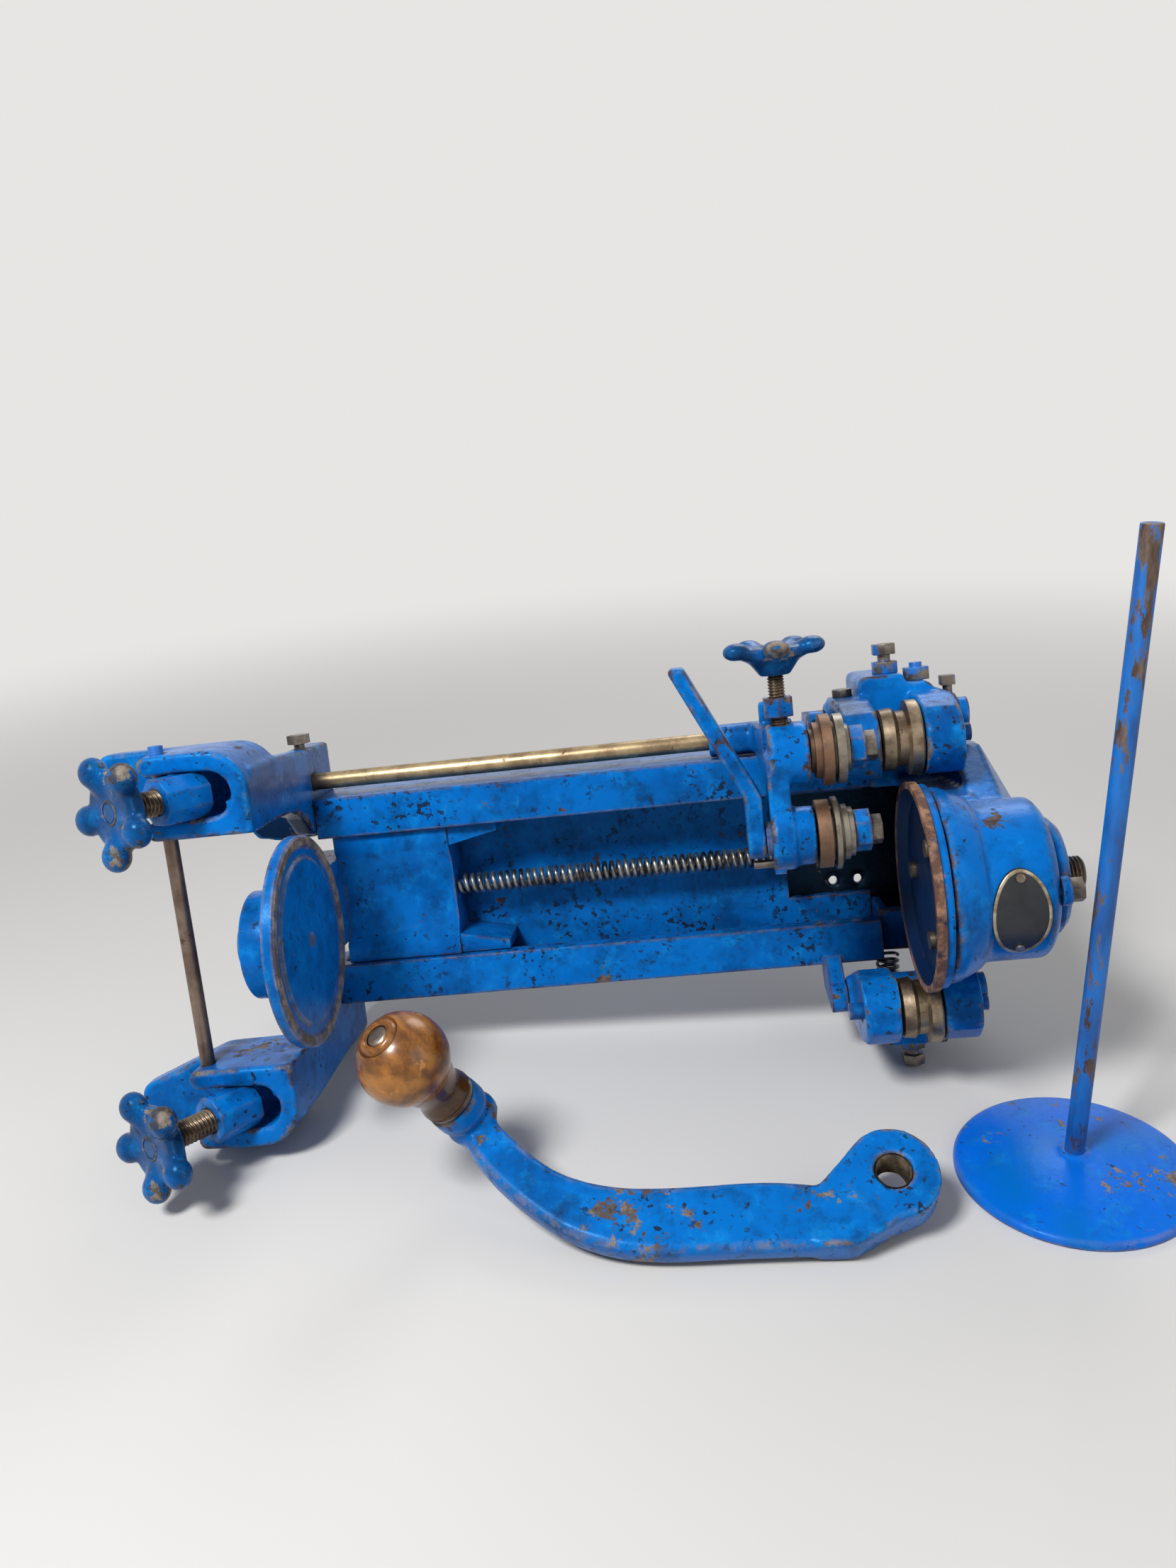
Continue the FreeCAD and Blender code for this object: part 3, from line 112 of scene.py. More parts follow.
# Metal that was never painted, or only in part
DARK_IRON = (0.022, 0.020, 0.020)
STEEL = (0.40, 0.39, 0.37)
SPRING_STEEL = (0.42, 0.41, 0.39)
BOLT_STEEL = (0.20, 0.17, 0.14)
BOLT_STEEL_DARK = (0.06, 0.052, 0.047)
TAN_STEEL = (0.32, 0.25, 0.17)
TAN_DARK = (0.10, 0.07, 0.045)
SCREW_BROWN = (0.20, 0.15, 0.10)
SCREW_DARK = (0.045, 0.035, 0.028)
ROLL_RED = (0.19, 0.105, 0.065)
ROLL_STEEL = (0.24, 0.215, 0.175)
GOLD_BROWN = (0.46, 0.35, 0.20)
GOLD_DARK = (0.22, 0.155, 0.09)
CROSS_BROWN = (0.25, 0.185, 0.145)
CROSS_DARK = (0.15, 0.10, 0.075)
ROD_BROWN = (0.16, 0.115, 0.085)
PLATE_LIGHT = (0.022, 0.023, 0.027)
PLATE_DARK = (0.010, 0.011, 0.014)
SILVER_BROWN = (0.50, 0.44, 0.33)
BORDER_DARK = (0.22, 0.17, 0.10)

# Wood, floor and backdrop
AMBER = (0.31, 0.118, 0.015)
UMBER = (0.095, 0.030, 0.004)
HONEY = (0.44, 0.19, 0.040)
WOOD_DARKENING = (0.020, 0.008, 0.003)
PALE = (0.80, 0.79, 0.77)
FLOOR = (0.62, 0.61, 0.595)
SKY = (0.96, 0.97, 1.0)

# Patterns: scale of the noise, the two ends of its threshold, its detail and its roughness
PAINT_TONES = (22.0, 0.30, 0.58, 5.0, 0.6)
PAINT_RUBBED = (80.0, 0.50, 0.74, 8.0, 0.70)
PAINT_SMUDGES = (75.0, 0.47, 0.66, 10.0, 0.74)
PAINT_SPECKS = (260.0, 0.640, 0.665, 4.0, 0.6)
SPECK_FIELDS = (34.0, 0.40, 0.58, 4.0, 0.6)
RAGGED_EDGES = (60.0, 0.50, 0.58, 12.0, 0.78)
BARE_TONES = (110.0, 0.42, 0.62, 6.0, 0.6)
BARE_PITS = (420.0, 0.58, 0.68, 4.0, 0.6)
CLINGING_PAINT = (55.0, 0.52, 0.56, 9.0, 0.68)
CLINGING_TONES = (40.0, 0.3, 0.65, 6.0, 0.6)
ROLL_STAINS = (120.0, 0.40, 0.72, 8.0, 0.7)
RING_BREAKS = (95.0, 0.32, 0.46, 8.0, 0.7)
WOOD_GLOW = (34.0, 0.46, 0.68, 5.0, 0.6)
WOOD_WEAR = (85.0, 0.645, 0.675, 6.0, 0.66)

# The same without a scale, for metal that sets its own
METAL_TONES = (0.34, 0.66, 7.0, 0.66)
METAL_RUST = (0.60, 0.72, 8.0, 0.7)
RUST_FINER = 2.4

# Plain noises: scale, detail and roughness
CHIP_PATCHES = (30.0, 9.0, 0.64)
PAINT_GRAIN = (210.0, 6.0, 0.72)
PAINT_SKIN = (70.0, 6.0, 0.65)
METAL_GRAIN = (420.0, 5.0, 0.6)
ROLL_GRAIN = (380.0, 5.0, 0.6)
WOOD_FIBRE = (1.0, 7.0, 0.62)

# Corners, which are darkened as painted shade, and edges: how far they are felt, and the two ends of the threshold
PAINT_CORNER_SHADE = (9.0 * MM, 0.22, 0.80)
DEEP_POCKET_SHADE = (55.0 * MM, 0.50, 0.92)
METAL_CORNER_SHADE = (5.0 * MM, 0.35, 0.95)
ROLL_CORNER_SHADE = (5.0 * MM, 0.3, 0.9)
WOOD_CORNER_SHADE = (4.0 * MM, 0.25, 0.8)
PAINT_EDGES = (2.2 * MM, 0.003, 0.035)

# Chips in paint: shares of the two noises, and the two ends of the threshold
PATCH_SHARE, GRAIN_SHARE = 0.62, 0.38
CHIP_LOW, CHIP_HIGH = 0.615, 0.63

# How much each layer shows in paint, on metal, on the flanging rolls and on wood
PIT_AMOUNT = 0.6
RUBBED_AMOUNT = 0.7
# Edges lightened as a painted highlight
EDGE_HIGHLIGHT_AMOUNT = 0.4
SMUDGE_AMOUNT = 0.60
SPECK_AMOUNT = 0.9
RUST_AMOUNT = 0.8
# Corner layers: painted shade
CORNER_SHADE_AMOUNT = 0.7
ROLL_CORNER_SHADE_AMOUNT = 0.75
SPOT_AMOUNT = 0.9
RING_AMOUNT = 0.3
GLOW_AMOUNT = 0.45
WEAR_AMOUNT = 0.8
NECK_AMOUNT = 0.72

# Gloss: roughness of bare places and of grime with painted shade, shine of paint, and the rolls' and the wood's
# range
PAINT_DULL = 0.60
DIRT_AND_SHADE_DULLS = 0.6
PAINT_SHINE = 0.30
METAL_DULL = 0.75
ROLL_METALLIC = 0.8
ROLL_GLOSS = (0.48, 0.34)
WOOD_GLOSS = (0.26, 0.55)
WOOD_SHINE = 0.35
VARNISH, VARNISH_ROUGH = 0.25, 0.12

# Relief: shares of grain and skin in paint, depth of what is lost, and strengths of the bumps
RELIEF_GRAIN = 0.3
RELIEF_SKIN = 0.6
LOST_DEPTH = 0.35
PAINT_BUMP = (0.5, 0.7 * MM)
METAL_BUMP = 0.16
ROLL_BUMP = 0.14
WOOD_BUMP = 0.12

# Wood: stretch of its fibres, thresholds of fibre and rings, and where its neck is dark
FIBRE_STRETCH = (18.0, 150.0, 150.0)
FIBRE_STEP = (0.34, 0.68)
RING_STEP = (0.45, 1.0)
NECK_STEP = (-19.0 * MM, -15.0 * MM)

# Places with a colour of their own, and of painted shade, in millimetres in the machine frame
LUG_FRONT_SHADE = ((-370.0, -325.5), (-80.0, 80.0), (-108.5, -100.0))
ARCH_FACE_SHADE = ((-323.8, -312.8), (36.0, 58.2), (-76.0, -43.0))
HEAD_WINDOW_SHADE = ((-75.0, 40.0), (-45.0, 45.0), (-121.5, -113.0))
DISC_RIM = (47.4, 52.0)
DISC_SPOT = 5.0
CHUCK_RIM = (46.9, 70.0, 4.4)
CHUCK_BACK = (4.6, 46.0)
PAINTED_ROD_END = (99.5, 110.0)
UPPER_ROLL_SPLIT, LOWER_ROLL_SPLIT = -34.4, -38.3

# How far before and after its edge a mask fades, in millimetres
CUT_FADE = (0.3, 0.3)
PLANE_FADE = (0.2, 0.2)
RIM_FADE = (0.6, 0.4)
BAND_FADE = (0.4, 0.4)
BACK_FADE = (0.5, 0.0)
SPOT_FULL = 0.4

# Colour sockets of the mix node
MIX_A, MIX_B, MIX_RESULT = 6, 7, 2


def machine(u, v, w):
    """Row-frame point of a machine-frame point in millimetres."""
    return CHUCK + (U * u + V * v + W * w) * MM


def material(name):
    mat = bpy.data.materials.new(name)
    mat.use_nodes = True
    tree = mat.node_tree
    return mat, tree, tree.nodes["Principled BSDF"]


def add(tree, kind, **values):
    """New shader node with its properties and inputs set."""
    node = tree.nodes.new(kind)
    for key, value in values.items():
        if hasattr(node, key):
            setattr(node, key, value)
        else:
            node.inputs[key.replace("_", " ")].default_value = value
    return node


def object_coords(tree):
    return tree.nodes.new("ShaderNodeTexCoord").outputs["Object"]


def noise(tree, coords, scale, detail, roughness):
    node = add(tree, "ShaderNodeTexNoise", Scale=scale, Detail=detail, Roughness=roughness)
    tree.links.new(coords, node.inputs["Vector"])
    return node.outputs["Fac"]


def step(tree, value, low, high):
    """Smooth threshold between two values."""
    node = add(tree, "ShaderNodeMapRange", interpolation_type="SMOOTHSTEP", From_Min=low,
               From_Max=high)
    tree.links.new(value, node.inputs["Value"])
    return node.outputs["Result"]


def rise(tree, length, place, before, after):
    """Smooth threshold where a length passes a place; all but the length in millimetres."""
    return step(tree, length, (place - before) * MM, (place + after) * MM)


def clouds(tree, coords, pattern, drop=0.0):
    """Noise cut by a smooth threshold, which drop lowers."""
    scale, low, high, detail, roughness = pattern
    return step(tree, noise(tree, coords, scale, detail, roughness), low - drop, high - drop)


def maths(tree, operation, a, b):
    """Clamped result of two numbers or sockets."""
    node = add(tree, "ShaderNodeMath", operation=operation)
    for value, socket in ((a, node.inputs[0]), (b, node.inputs[1])):
        if isinstance(value, (int, float)):
            socket.default_value = value
        else:
            tree.links.new(value, socket)
    node.use_clamp = True
    return node.outputs[0]


def product(tree, a, b):
    return maths(tree, "MULTIPLY", a, b)


def larger(tree, a, b):
    return maths(tree, "MAXIMUM", a, b)


def inverse(tree, a):
    return maths(tree, "SUBTRACT", 1.0, a)


def blend(tree, factor, a, b):
    """Colour mix; a and b are colours or sockets."""
    node = add(tree, "ShaderNodeMix", data_type="RGBA")
    tree.links.new(factor, node.inputs["Factor"])
    for value, index in ((a, MIX_A), (b, MIX_B)):
        if isinstance(value, tuple):
            node.inputs[index].default_value = (*value, 1.0)
        else:
            tree.links.new(value, node.inputs[index])
    return node.outputs[MIX_RESULT]


def tint(tree, mask, amount, colour, other):
    """Colour that goes over to another by an amount of a mask."""
    return blend(tree, product(tree, mask, amount), colour, other)


def edge_mask(tree, radius, low, high):
    """Where the surface turns a corner."""
    bevel = add(tree, "ShaderNodeBevel", Radius=radius)
    geometry = tree.nodes.new("ShaderNodeNewGeometry")
    dot = add(tree, "ShaderNodeVectorMath", operation="DOT_PRODUCT")
    tree.links.new(bevel.outputs[0], dot.inputs[0])
    tree.links.new(geometry.outputs["Normal"], dot.inputs[1])
    return step(tree, inverse(tree, dot.outputs["Value"]), low, high)


def curvature_mask(tree, low, high):
    """Where a dense mesh bulges."""
    geometry = tree.nodes.new("ShaderNodeNewGeometry")
    return step(tree, geometry.outputs["Pointiness"], low, high)


def crevice(tree, distance, low, high):
    """Where other surfaces stand close by: the mask of painted shade in corners and pockets."""
    shut = add(tree, "ShaderNodeAmbientOcclusion", samples=4, Distance=distance)
    return step(tree, inverse(tree, shut.outputs["AO"]), low, high)


def offset_from(tree, coords, point):
    node = add(tree, "ShaderNodeVectorMath", operation="SUBTRACT")
    tree.links.new(coords, node.inputs[0])
    node.inputs[1].default_value = point
    return node.outputs[0]


def along(tree, coords, point, axis):
    """Distance along an axis from a point, in metres."""
    node = add(tree, "ShaderNodeVectorMath", operation="DOT_PRODUCT")
    tree.links.new(offset_from(tree, coords, point), node.inputs[0])
    node.inputs[1].default_value = axis
    return node.outputs["Value"]


def from_axis(tree, coords, point, axis):
    """Distance from an axis, in metres."""
    cross = add(tree, "ShaderNodeVectorMath", operation="CROSS_PRODUCT")
    tree.links.new(offset_from(tree, coords, point), cross.inputs[0])
    cross.inputs[1].default_value = axis
    length = add(tree, "ShaderNodeVectorMath", operation="LENGTH")
    tree.links.new(cross.outputs[0], length.inputs[0])
    return length.outputs["Value"]


def stretched(tree, coords, scale):
    """Coordinates scaled along each axis."""
    node = add(tree, "ShaderNodeMapping", Scale=scale)
    tree.links.new(coords, node.inputs["Vector"])
    return node.outputs[0]


def gloss_in(tree, shader, mask, least, most):
    """Roughness that follows a mask from one value to another."""
    gloss = add(tree, "ShaderNodeMapRange", To_Min=least, To_Max=most)
    tree.links.new(mask, gloss.inputs["Value"])
    tree.links.new(gloss.outputs["Result"], shader.inputs["Roughness"])


def bump_in(tree, shader, height, strength, distance=0.4 * MM):
    bump = add(tree, "ShaderNodeBump", Strength=strength, Distance=distance)
    tree.links.new(height, bump.inputs["Height"])
    tree.links.new(bump.outputs["Normal"], shader.inputs["Normal"])


def bare_colour(tree, coords, dark, light):
    """Bare old metal: two tones and dark pits."""
    colour = blend(tree, clouds(tree, coords, BARE_TONES), dark, light)
    return tint(tree, clouds(tree, coords, BARE_PITS), PIT_AMOUNT, colour, DARK_IRON)


def worn_paint(name, paint=BLUE, deep=BLUE_DEEP, light=BLUE_LIGHT, chips=0.0, specks=0.0, wear=0.0,
               grime_and_shade=0.75, roughness=0.25, bare=(RUST, GREY_BROWN), bare_mask=None, shift=None,
               pocket_shade=0.0, dense=None):
    """Old paint: rubbed light and dark by turns, grime smudges and painted shade in corners,
    a painted highlight along edges, chipped, worn through on edges. chips, specks and wear move
    those thresholds; bare_mask strips a place of its paint, shift is a mask with the colour that
    the paint has there, painted shade in some places, pocket_shade is how black the painted shade
    in deep pockets is, and dense gives the curvatures between which edges show on a mesh that is
    fine enough to be read so."""
    mat, tree, shader = material(name)
    coords = object_coords(tree)
    colour = blend(tree, clouds(tree, coords, PAINT_TONES), deep, paint)
    colour = tint(tree, clouds(tree, coords, PAINT_RUBBED), RUBBED_AMOUNT, colour, light)
    if shift:
        colour = blend(tree, shift[0](tree, coords), colour, shift[1])
    edge = curvature_mask(tree, *dense) if dense else edge_mask(tree, *PAINT_EDGES)
    # Edges lightened towards the light blue: a painted highlight
    colour = tint(tree, edge, EDGE_HIGHLIGHT_AMOUNT, colour, light)
    smudge = product(tree, clouds(tree, coords, PAINT_SMUDGES), SMUDGE_AMOUNT)
    # Random grime smudges, joined by painted shade where other surfaces stand close by
    dirt_and_shade = larger(tree, smudge, crevice(tree, *PAINT_CORNER_SHADE))
    colour = tint(tree, dirt_and_shade, grime_and_shade, colour, GRIME_AND_SHADE_TONE)
    # Deep pockets blackened: painted shade
    if pocket_shade:
        colour = tint(tree, crevice(tree, *DEEP_POCKET_SHADE), pocket_shade, colour, GRIME_AND_SHADE_TONE)
    patch = noise(tree, coords, *CHIP_PATCHES)
    grain = noise(tree, coords, *PAINT_GRAIN)
    dots = product(tree, clouds(tree, coords, PAINT_SPECKS, specks),
                   clouds(tree, coords, SPECK_FIELDS))
    colour = tint(tree, dots, SPECK_AMOUNT, colour, SPECK)
    uneven = maths(tree, "ADD", product(tree, patch, PATCH_SHARE),
                   product(tree, grain, GRAIN_SHARE))
    chip = step(tree, uneven, CHIP_LOW - chips, CHIP_HIGH - chips)
    worn_edge = product(tree, edge, clouds(tree, coords, RAGGED_EDGES, wear))
    gone = larger(tree, chip, worn_edge)
    if bare_mask:
        gone = larger(tree, gone, bare_mask(tree, coords))
    colour = blend(tree, gone, colour, bare_colour(tree, coords, *bare))
    tree.links.new(colour, shader.inputs["Base Color"])
    dull = larger(tree, gone, product(tree, dirt_and_shade, DIRT_AND_SHADE_DULLS))
    gloss_in(tree, shader, dull, roughness, PAINT_DULL)
    shader.inputs["Specular IOR Level"].default_value = PAINT_SHINE
    shader.inputs["Specular Tint"].default_value = (*PAINT_SHEEN, 1.0)
    relief = maths(tree, "ADD", product(tree, grain, RELIEF_GRAIN),
                   product(tree, noise(tree, coords, *PAINT_SKIN), RELIEF_SKIN))
    lost = product(tree, larger(tree, gone, dots), LOST_DEPTH)
    bump_in(tree, shader, maths(tree, "SUBTRACT", relief, lost), *PAINT_BUMP)
    return mat


def old_metal(name, light, dark, spots=0.03, metallic=0.85, roughness=0.40, scale=70.0, paint=None,
              stretch=None, cover=None):
    """Bare metal with tarnish and dark spots, darkened in its corners as painted shade; paint may
    cling to it in patches, and cover masks what is painted all over. stretch scales the pattern on
    each axis."""
    mat, tree, shader = material(name)
    coords = place = object_coords(tree)
    if stretch:
        coords = stretched(tree, place, stretch)
    colour = blend(tree, clouds(tree, coords, (scale, *METAL_TONES)), dark, light)
    rusty = clouds(tree, coords, (scale * RUST_FINER, *METAL_RUST), spots)
    colour = tint(tree, rusty, RUST_AMOUNT, colour, RUST)
    # Corners darkened: painted shade
    corner_shade = crevice(tree, *METAL_CORNER_SHADE)
    colour = tint(tree, corner_shade, CORNER_SHADE_AMOUNT, colour, DARK_IRON)
    if paint is None:
        shader.inputs["Metallic"].default_value = metallic
    else:
        kept = clouds(tree, coords, CLINGING_PAINT, paint)
        if cover:
            kept = larger(tree, kept, cover(tree, place))
        tones = blend(tree, clouds(tree, coords, CLINGING_TONES), BLUE_DEEP, BLUE)
        colour = blend(tree, kept, colour, tones)
        shine = product(tree, inverse(tree, kept), metallic)
        tree.links.new(shine, shader.inputs["Metallic"])
    tree.links.new(colour, shader.inputs["Base Color"])
    gloss_in(tree, shader, larger(tree, rusty, corner_shade), roughness, METAL_DULL)
    bump_in(tree, shader, noise(tree, coords, *METAL_GRAIN), METAL_BUMP)
    return mat


def roll_metal(name, split):
    """Flanging roll: a brown disc beside a brighter one; split is where they meet along u."""
    mat, tree, shader = material(name)
    coords = object_coords(tree)
    bright = rise(tree, along(tree, coords, CHUCK, U), split, *CUT_FADE)
    colour = blend(tree, bright, ROLL_RED, ROLL_STEEL)
    colour = blend(tree, clouds(tree, coords, ROLL_STAINS), colour, TAN_DARK)
    # Corners darkened: painted shade
    colour = tint(tree, crevice(tree, *ROLL_CORNER_SHADE), ROLL_CORNER_SHADE_AMOUNT, colour, DARK_IRON)
    tree.links.new(colour, shader.inputs["Base Color"])
    shader.inputs["Metallic"].default_value = ROLL_METALLIC
    gloss_in(tree, shader, bright, *ROLL_GLOSS)
    bump_in(tree, shader, noise(tree, coords, *ROLL_GRAIN), ROLL_BUMP)
    return mat


def ring_of(point, axis, inner, outer, front=None, spot=0.0):
    """Mask of a band between two radii, in millimetres; front limits it along the axis, and spot
    adds a round place on the axis."""
    def mask(tree, coords):
        radius = from_axis(tree, coords, point, axis)
        band = product(tree, rise(tree, radius, inner, *RIM_FADE),
                       inverse(tree, rise(tree, radius, outer, *BAND_FADE)))
        if front is not None:
            past = rise(tree, along(tree, coords, point, axis), front, *PLANE_FADE)
            band = product(tree, band, inverse(tree, past))
        if spot:
            middle = inverse(tree, step(tree, radius, spot * SPOT_FULL * MM, spot * MM))
            band = larger(tree, band, product(tree, middle, SPOT_AMOUNT))
        return product(tree, band, clouds(tree, coords, RING_BREAKS))
    return mask


def behind(point, axis, front, inner):
    """Mask of what lies beyond a plane across the axis and outside a radius, in millimetres."""
    def mask(tree, coords):
        past = rise(tree, along(tree, coords, point, axis), front, *PLANE_FADE)
        outside = rise(tree, from_axis(tree, coords, point, axis), inner, *BACK_FADE)
        return product(tree, past, outside)
    return mask


def between(point, axis, low, high):
    """Mask of what lies between two planes across an axis, in millimetres."""
    def mask(tree, coords):
        place = along(tree, coords, point, axis)
        return product(tree, rise(tree, place, low, *CUT_FADE),
                       inverse(tree, rise(tree, place, high, *CUT_FADE)))
    return mask


def in_box(us, vs, ws):
    """Mask of a box in the machine frame, in millimetres."""
    def mask(tree, coords):
        in_plan = product(tree, between(CHUCK, U, *us)(tree, coords),
                          between(CHUCK, V, *vs)(tree, coords))
        return product(tree, between(CHUCK, W, *ws)(tree, coords), in_plan)
    return mask


def foot_painted_shade(tree, coords):
    """Mask of the lug behind the arch of the upper foot and of the arch's own inner face: painted shade."""
    return larger(tree, in_box(*LUG_FRONT_SHADE)(tree, coords), in_box(*ARCH_FACE_SHADE)(tree, coords))


def turned_wood(name):
    """Varnished wood turned about the piece's z axis, with grain along x, wear, a darker neck and painted shade in
    its corners.
    """
    mat, tree, shader = material(name)
    coords = object_coords(tree)
    fibre = noise(tree, stretched(tree, coords, FIBRE_STRETCH), *WOOD_FIBRE)
    rings = add(tree, "ShaderNodeTexWave", wave_type="BANDS", bands_direction="Y", Scale=42.0,
                Distortion=7.0, Detail=4.0, Detail_Scale=1.6)
    tree.links.new(coords, rings.inputs["Vector"])
    colour = blend(tree, step(tree, fibre, *FIBRE_STEP), UMBER, AMBER)
    colour = tint(tree, step(tree, rings.outputs["Fac"], *RING_STEP), RING_AMOUNT, colour, UMBER)
    colour = tint(tree, clouds(tree, coords, WOOD_GLOW), GLOW_AMOUNT, colour, HONEY)
    worn = clouds(tree, coords, WOOD_WEAR)
    colour = tint(tree, worn, WEAR_AMOUNT, colour, HONEY)
    place = add(tree, "ShaderNodeSeparateXYZ")
    tree.links.new(coords, place.inputs[0])
    neck = inverse(tree, step(tree, place.outputs["Z"], *NECK_STEP))
    # Darker towards the neck, and painted shade in corners
    dark = larger(tree, product(tree, neck, NECK_AMOUNT), crevice(tree, *WOOD_CORNER_SHADE))
    colour = blend(tree, dark, colour, WOOD_DARKENING)
    tree.links.new(colour, shader.inputs["Base Color"])
    gloss_in(tree, shader, worn, *WOOD_GLOSS)
    shader.inputs["Coat Weight"].default_value = VARNISH
    shader.inputs["Coat Roughness"].default_value = VARNISH_ROUGH
    shader.inputs["Specular IOR Level"].default_value = WOOD_SHINE
    bump_in(tree, shader, maths(tree, "SUBTRACT", fibre, worn), WOOD_BUMP)
    return mat


MATS = {
    "blue": worn_paint("worn_blue_paint", chips=0.01, specks=0.01, wear=0.04),
    # Castings: the inside of the upper foot's arch darkened as painted shade
    "cast": worn_paint("worn_blue_casting", chips=0.024, specks=0.03, wear=0.03,
                       bare=(RUST, BARE_CAST), dense=(0.510, 0.540),
                       shift=(foot_painted_shade, SHADED_BLUE)),
    # Head: its deep pockets and the window behind the chuck painted black as shade
    "head": worn_paint("head_blue_paint", chips=0.014, specks=0.012, wear=0.03, pocket_shade=0.9,
                       dense=(0.512, 0.545), shift=(in_box(*HEAD_WINDOW_SHADE), WINDOW_SHADE_BLACK)),
    # Rail channel: deep pockets blackened as painted shade
    "rail": worn_paint("speckled_blue_paint", chips=0.022, specks=0.075, wear=0.10, pocket_shade=0.6),
    "clean": worn_paint("bright_blue_paint", BLUE_BRIGHT, BLUE, chips=0.036, specks=-0.01,
                        wear=0.10, grime_and_shade=0.25, bare=(GREY_BROWN, BARE_PLATE)),
    "crank": worn_paint("handled_blue_paint", chips=0.036, specks=0.04, wear=0.05,
                        bare=(BARE_CRANK_DARK, BARE_CRANK), dense=(0.508, 0.535)),
    "star": worn_paint("rubbed_blue_paint", STAR_BLUE, STAR_DEEP, chips=0.075, specks=0.03,
                       wear=0.12, grime_and_shade=0.8, bare=(BARE_STAR_DARK, BARE_STAR),
                       dense=(0.515, 0.565)),
    "disc": worn_paint("can_disc_paint", chips=-0.02, wear=0.10, bare=(BARE_DISC_DARK, BARE_DISC),
                       bare_mask=ring_of(DISC, U, *DISC_RIM, spot=DISC_SPOT)),
    # Chuck: its face painted dark navy as shade, blue behind it
    "chuck": worn_paint("chuck_paint", CHUCK_FACE_SHADE_NAVY, DARK_IRON, CHUCK_FACE_SHADE_NAVY, chips=-0.02, wear=-0.05,
                        roughness=0.40, bare=(COPPER_DARK, COPPER),
                        bare_mask=ring_of(CHUCK, U, *CHUCK_RIM),
                        shift=(behind(CHUCK, U, *CHUCK_BACK), BLUE)),
    "bolt": worn_paint("painted_fasteners", chips=0.045, specks=0.02, wear=0.14, grime_and_shade=0.85,
                       bare=(RUST, BARE_BOLT)),
    "dark_steel": old_metal("dark_worn_steel", BOLT_STEEL, BOLT_STEEL_DARK, 0.02, roughness=0.36,
                            paint=-0.03),
    "steel": old_metal("worn_steel", STEEL, GREY_BROWN),
    "painted_rod": old_metal("paint_on_rod", ROD_BROWN, RUST, 0.05, metallic=0.3, roughness=0.5,
                             paint=0.085, stretch=(2.8, 2.8, 0.75)),
    "spring": old_metal("spring_steel", SPRING_STEEL, DARK_IRON, 0.0, roughness=0.34),
    "screw": old_metal("browned_screw", SCREW_BROWN, SCREW_DARK, 0.0, roughness=0.38),
    "tan": old_metal("browned_roll_steel", TAN_STEEL, TAN_DARK, 0.02, roughness=0.36),
    "gold": old_metal("golden_brown_rod", GOLD_BROWN, GOLD_DARK, 0.02, roughness=0.36),
    "brown": old_metal("brown_grey_rod", CROSS_BROWN, CROSS_DARK, 0.0, roughness=0.46, paint=-0.3,
                       cover=between(CHUCK, V, *PAINTED_ROD_END)),
    "plate": old_metal("bare_dark_plate", PLATE_LIGHT, PLATE_DARK, -0.08, metallic=0.15,
                       roughness=0.38),
    "border": old_metal("plate_border", SILVER_BROWN, BORDER_DARK, -0.06, roughness=0.36,
                        scale=140.0),
    "upper_roll": roll_metal("upper_flange_roll_steel", UPPER_ROLL_SPLIT),
    "lower_roll": roll_metal("lower_flange_roll_steel", LOWER_ROLL_SPLIT),
    "wood": turned_wood("turned_wood"),
}

# Looks by material slot, and of the nodes that differ from their slot's look
SLOT_LOOK = {"blue_paint": "blue", "bare_steel": "steel", "brown_steel": "tan",
             "dark_plate": "plate", "wood": "wood"}
NODES_WITH = {
    "rail": ["column"],
    "head": ["head_casting"],
    "cast": ["upper_foot", "lower_foot", "roll_arm", "upper_yoke", "lower_yoke", "bent_lever"],
    "gold": ["swing_rod"],
    "brown": ["cross_rod"],
    "spring": ["main_spring", "upper_return_spring", "lower_return_spring"],
    "chuck": ["chuck"],
    "tan": ["chuck_screws"],
    "star": ["upper_clamp_knob", "lower_clamp_knob", "arm_knob"],
    "clean": ["loose_plate"],
    "painted_rod": ["plate_rod"],
    "crank": ["crank_arm"],
    "disc": ["can_disc"],
    "blue": ["upper_clamp_nut", "lower_clamp_nut"],
    "screw": ["upper_clamp_screw", "lower_clamp_screw", "arm_screw", "spindle"],
    "upper_roll": ["upper_flange_roll"],
    "lower_roll": ["lower_flange_roll"],
    "bolt": ["stud_nuts", "upper_pivot_pin", "lower_pivot_pin", "head_bolts", "upper_roll_axle",
             "lower_roll_axle", "arm_nut", "lever_washer", "disc_pivot"],
    "dark_steel": ["cap_bolts", "upper_yoke_bolts", "lower_yoke_bolts", "lug_screws",
                   "rod_set_screw", "stop_pin", "upper_stud", "lower_stud"],
}
NODE_LOOK = {n: name for name, nodes in NODES_WITH.items() for n in nodes}

# Pieces whose hard edges are rounded, with the width in millimetres
SOFT_EDGES = {
    "column": 1.0, "bearing_cap": 0.8, "carriage": 1.0, "upper_clamp_nut": 0.9,
    "lower_clamp_nut": 0.9, "stud_nuts": 0.7, "upper_stud": 0.6, "lower_stud": 0.6, "arm_nut": 0.6,
    "upper_yoke_bolts": 0.6, "lower_yoke_bolts": 0.6, "cap_bolts": 0.6, "head_bolts": 0.6,
    "lug_screws": 0.5, "swing_rod": 0.5, "cross_rod": 0.5, "plate_rod": 0.6,
}
BEVEL_STEPS, BEVEL_FULLNESS = 2, 0.6
WELD = 0.005 * MM
FLAT = math.radians(1.0)
HARD = math.radians(32)
SHARP = math.radians(35.0)

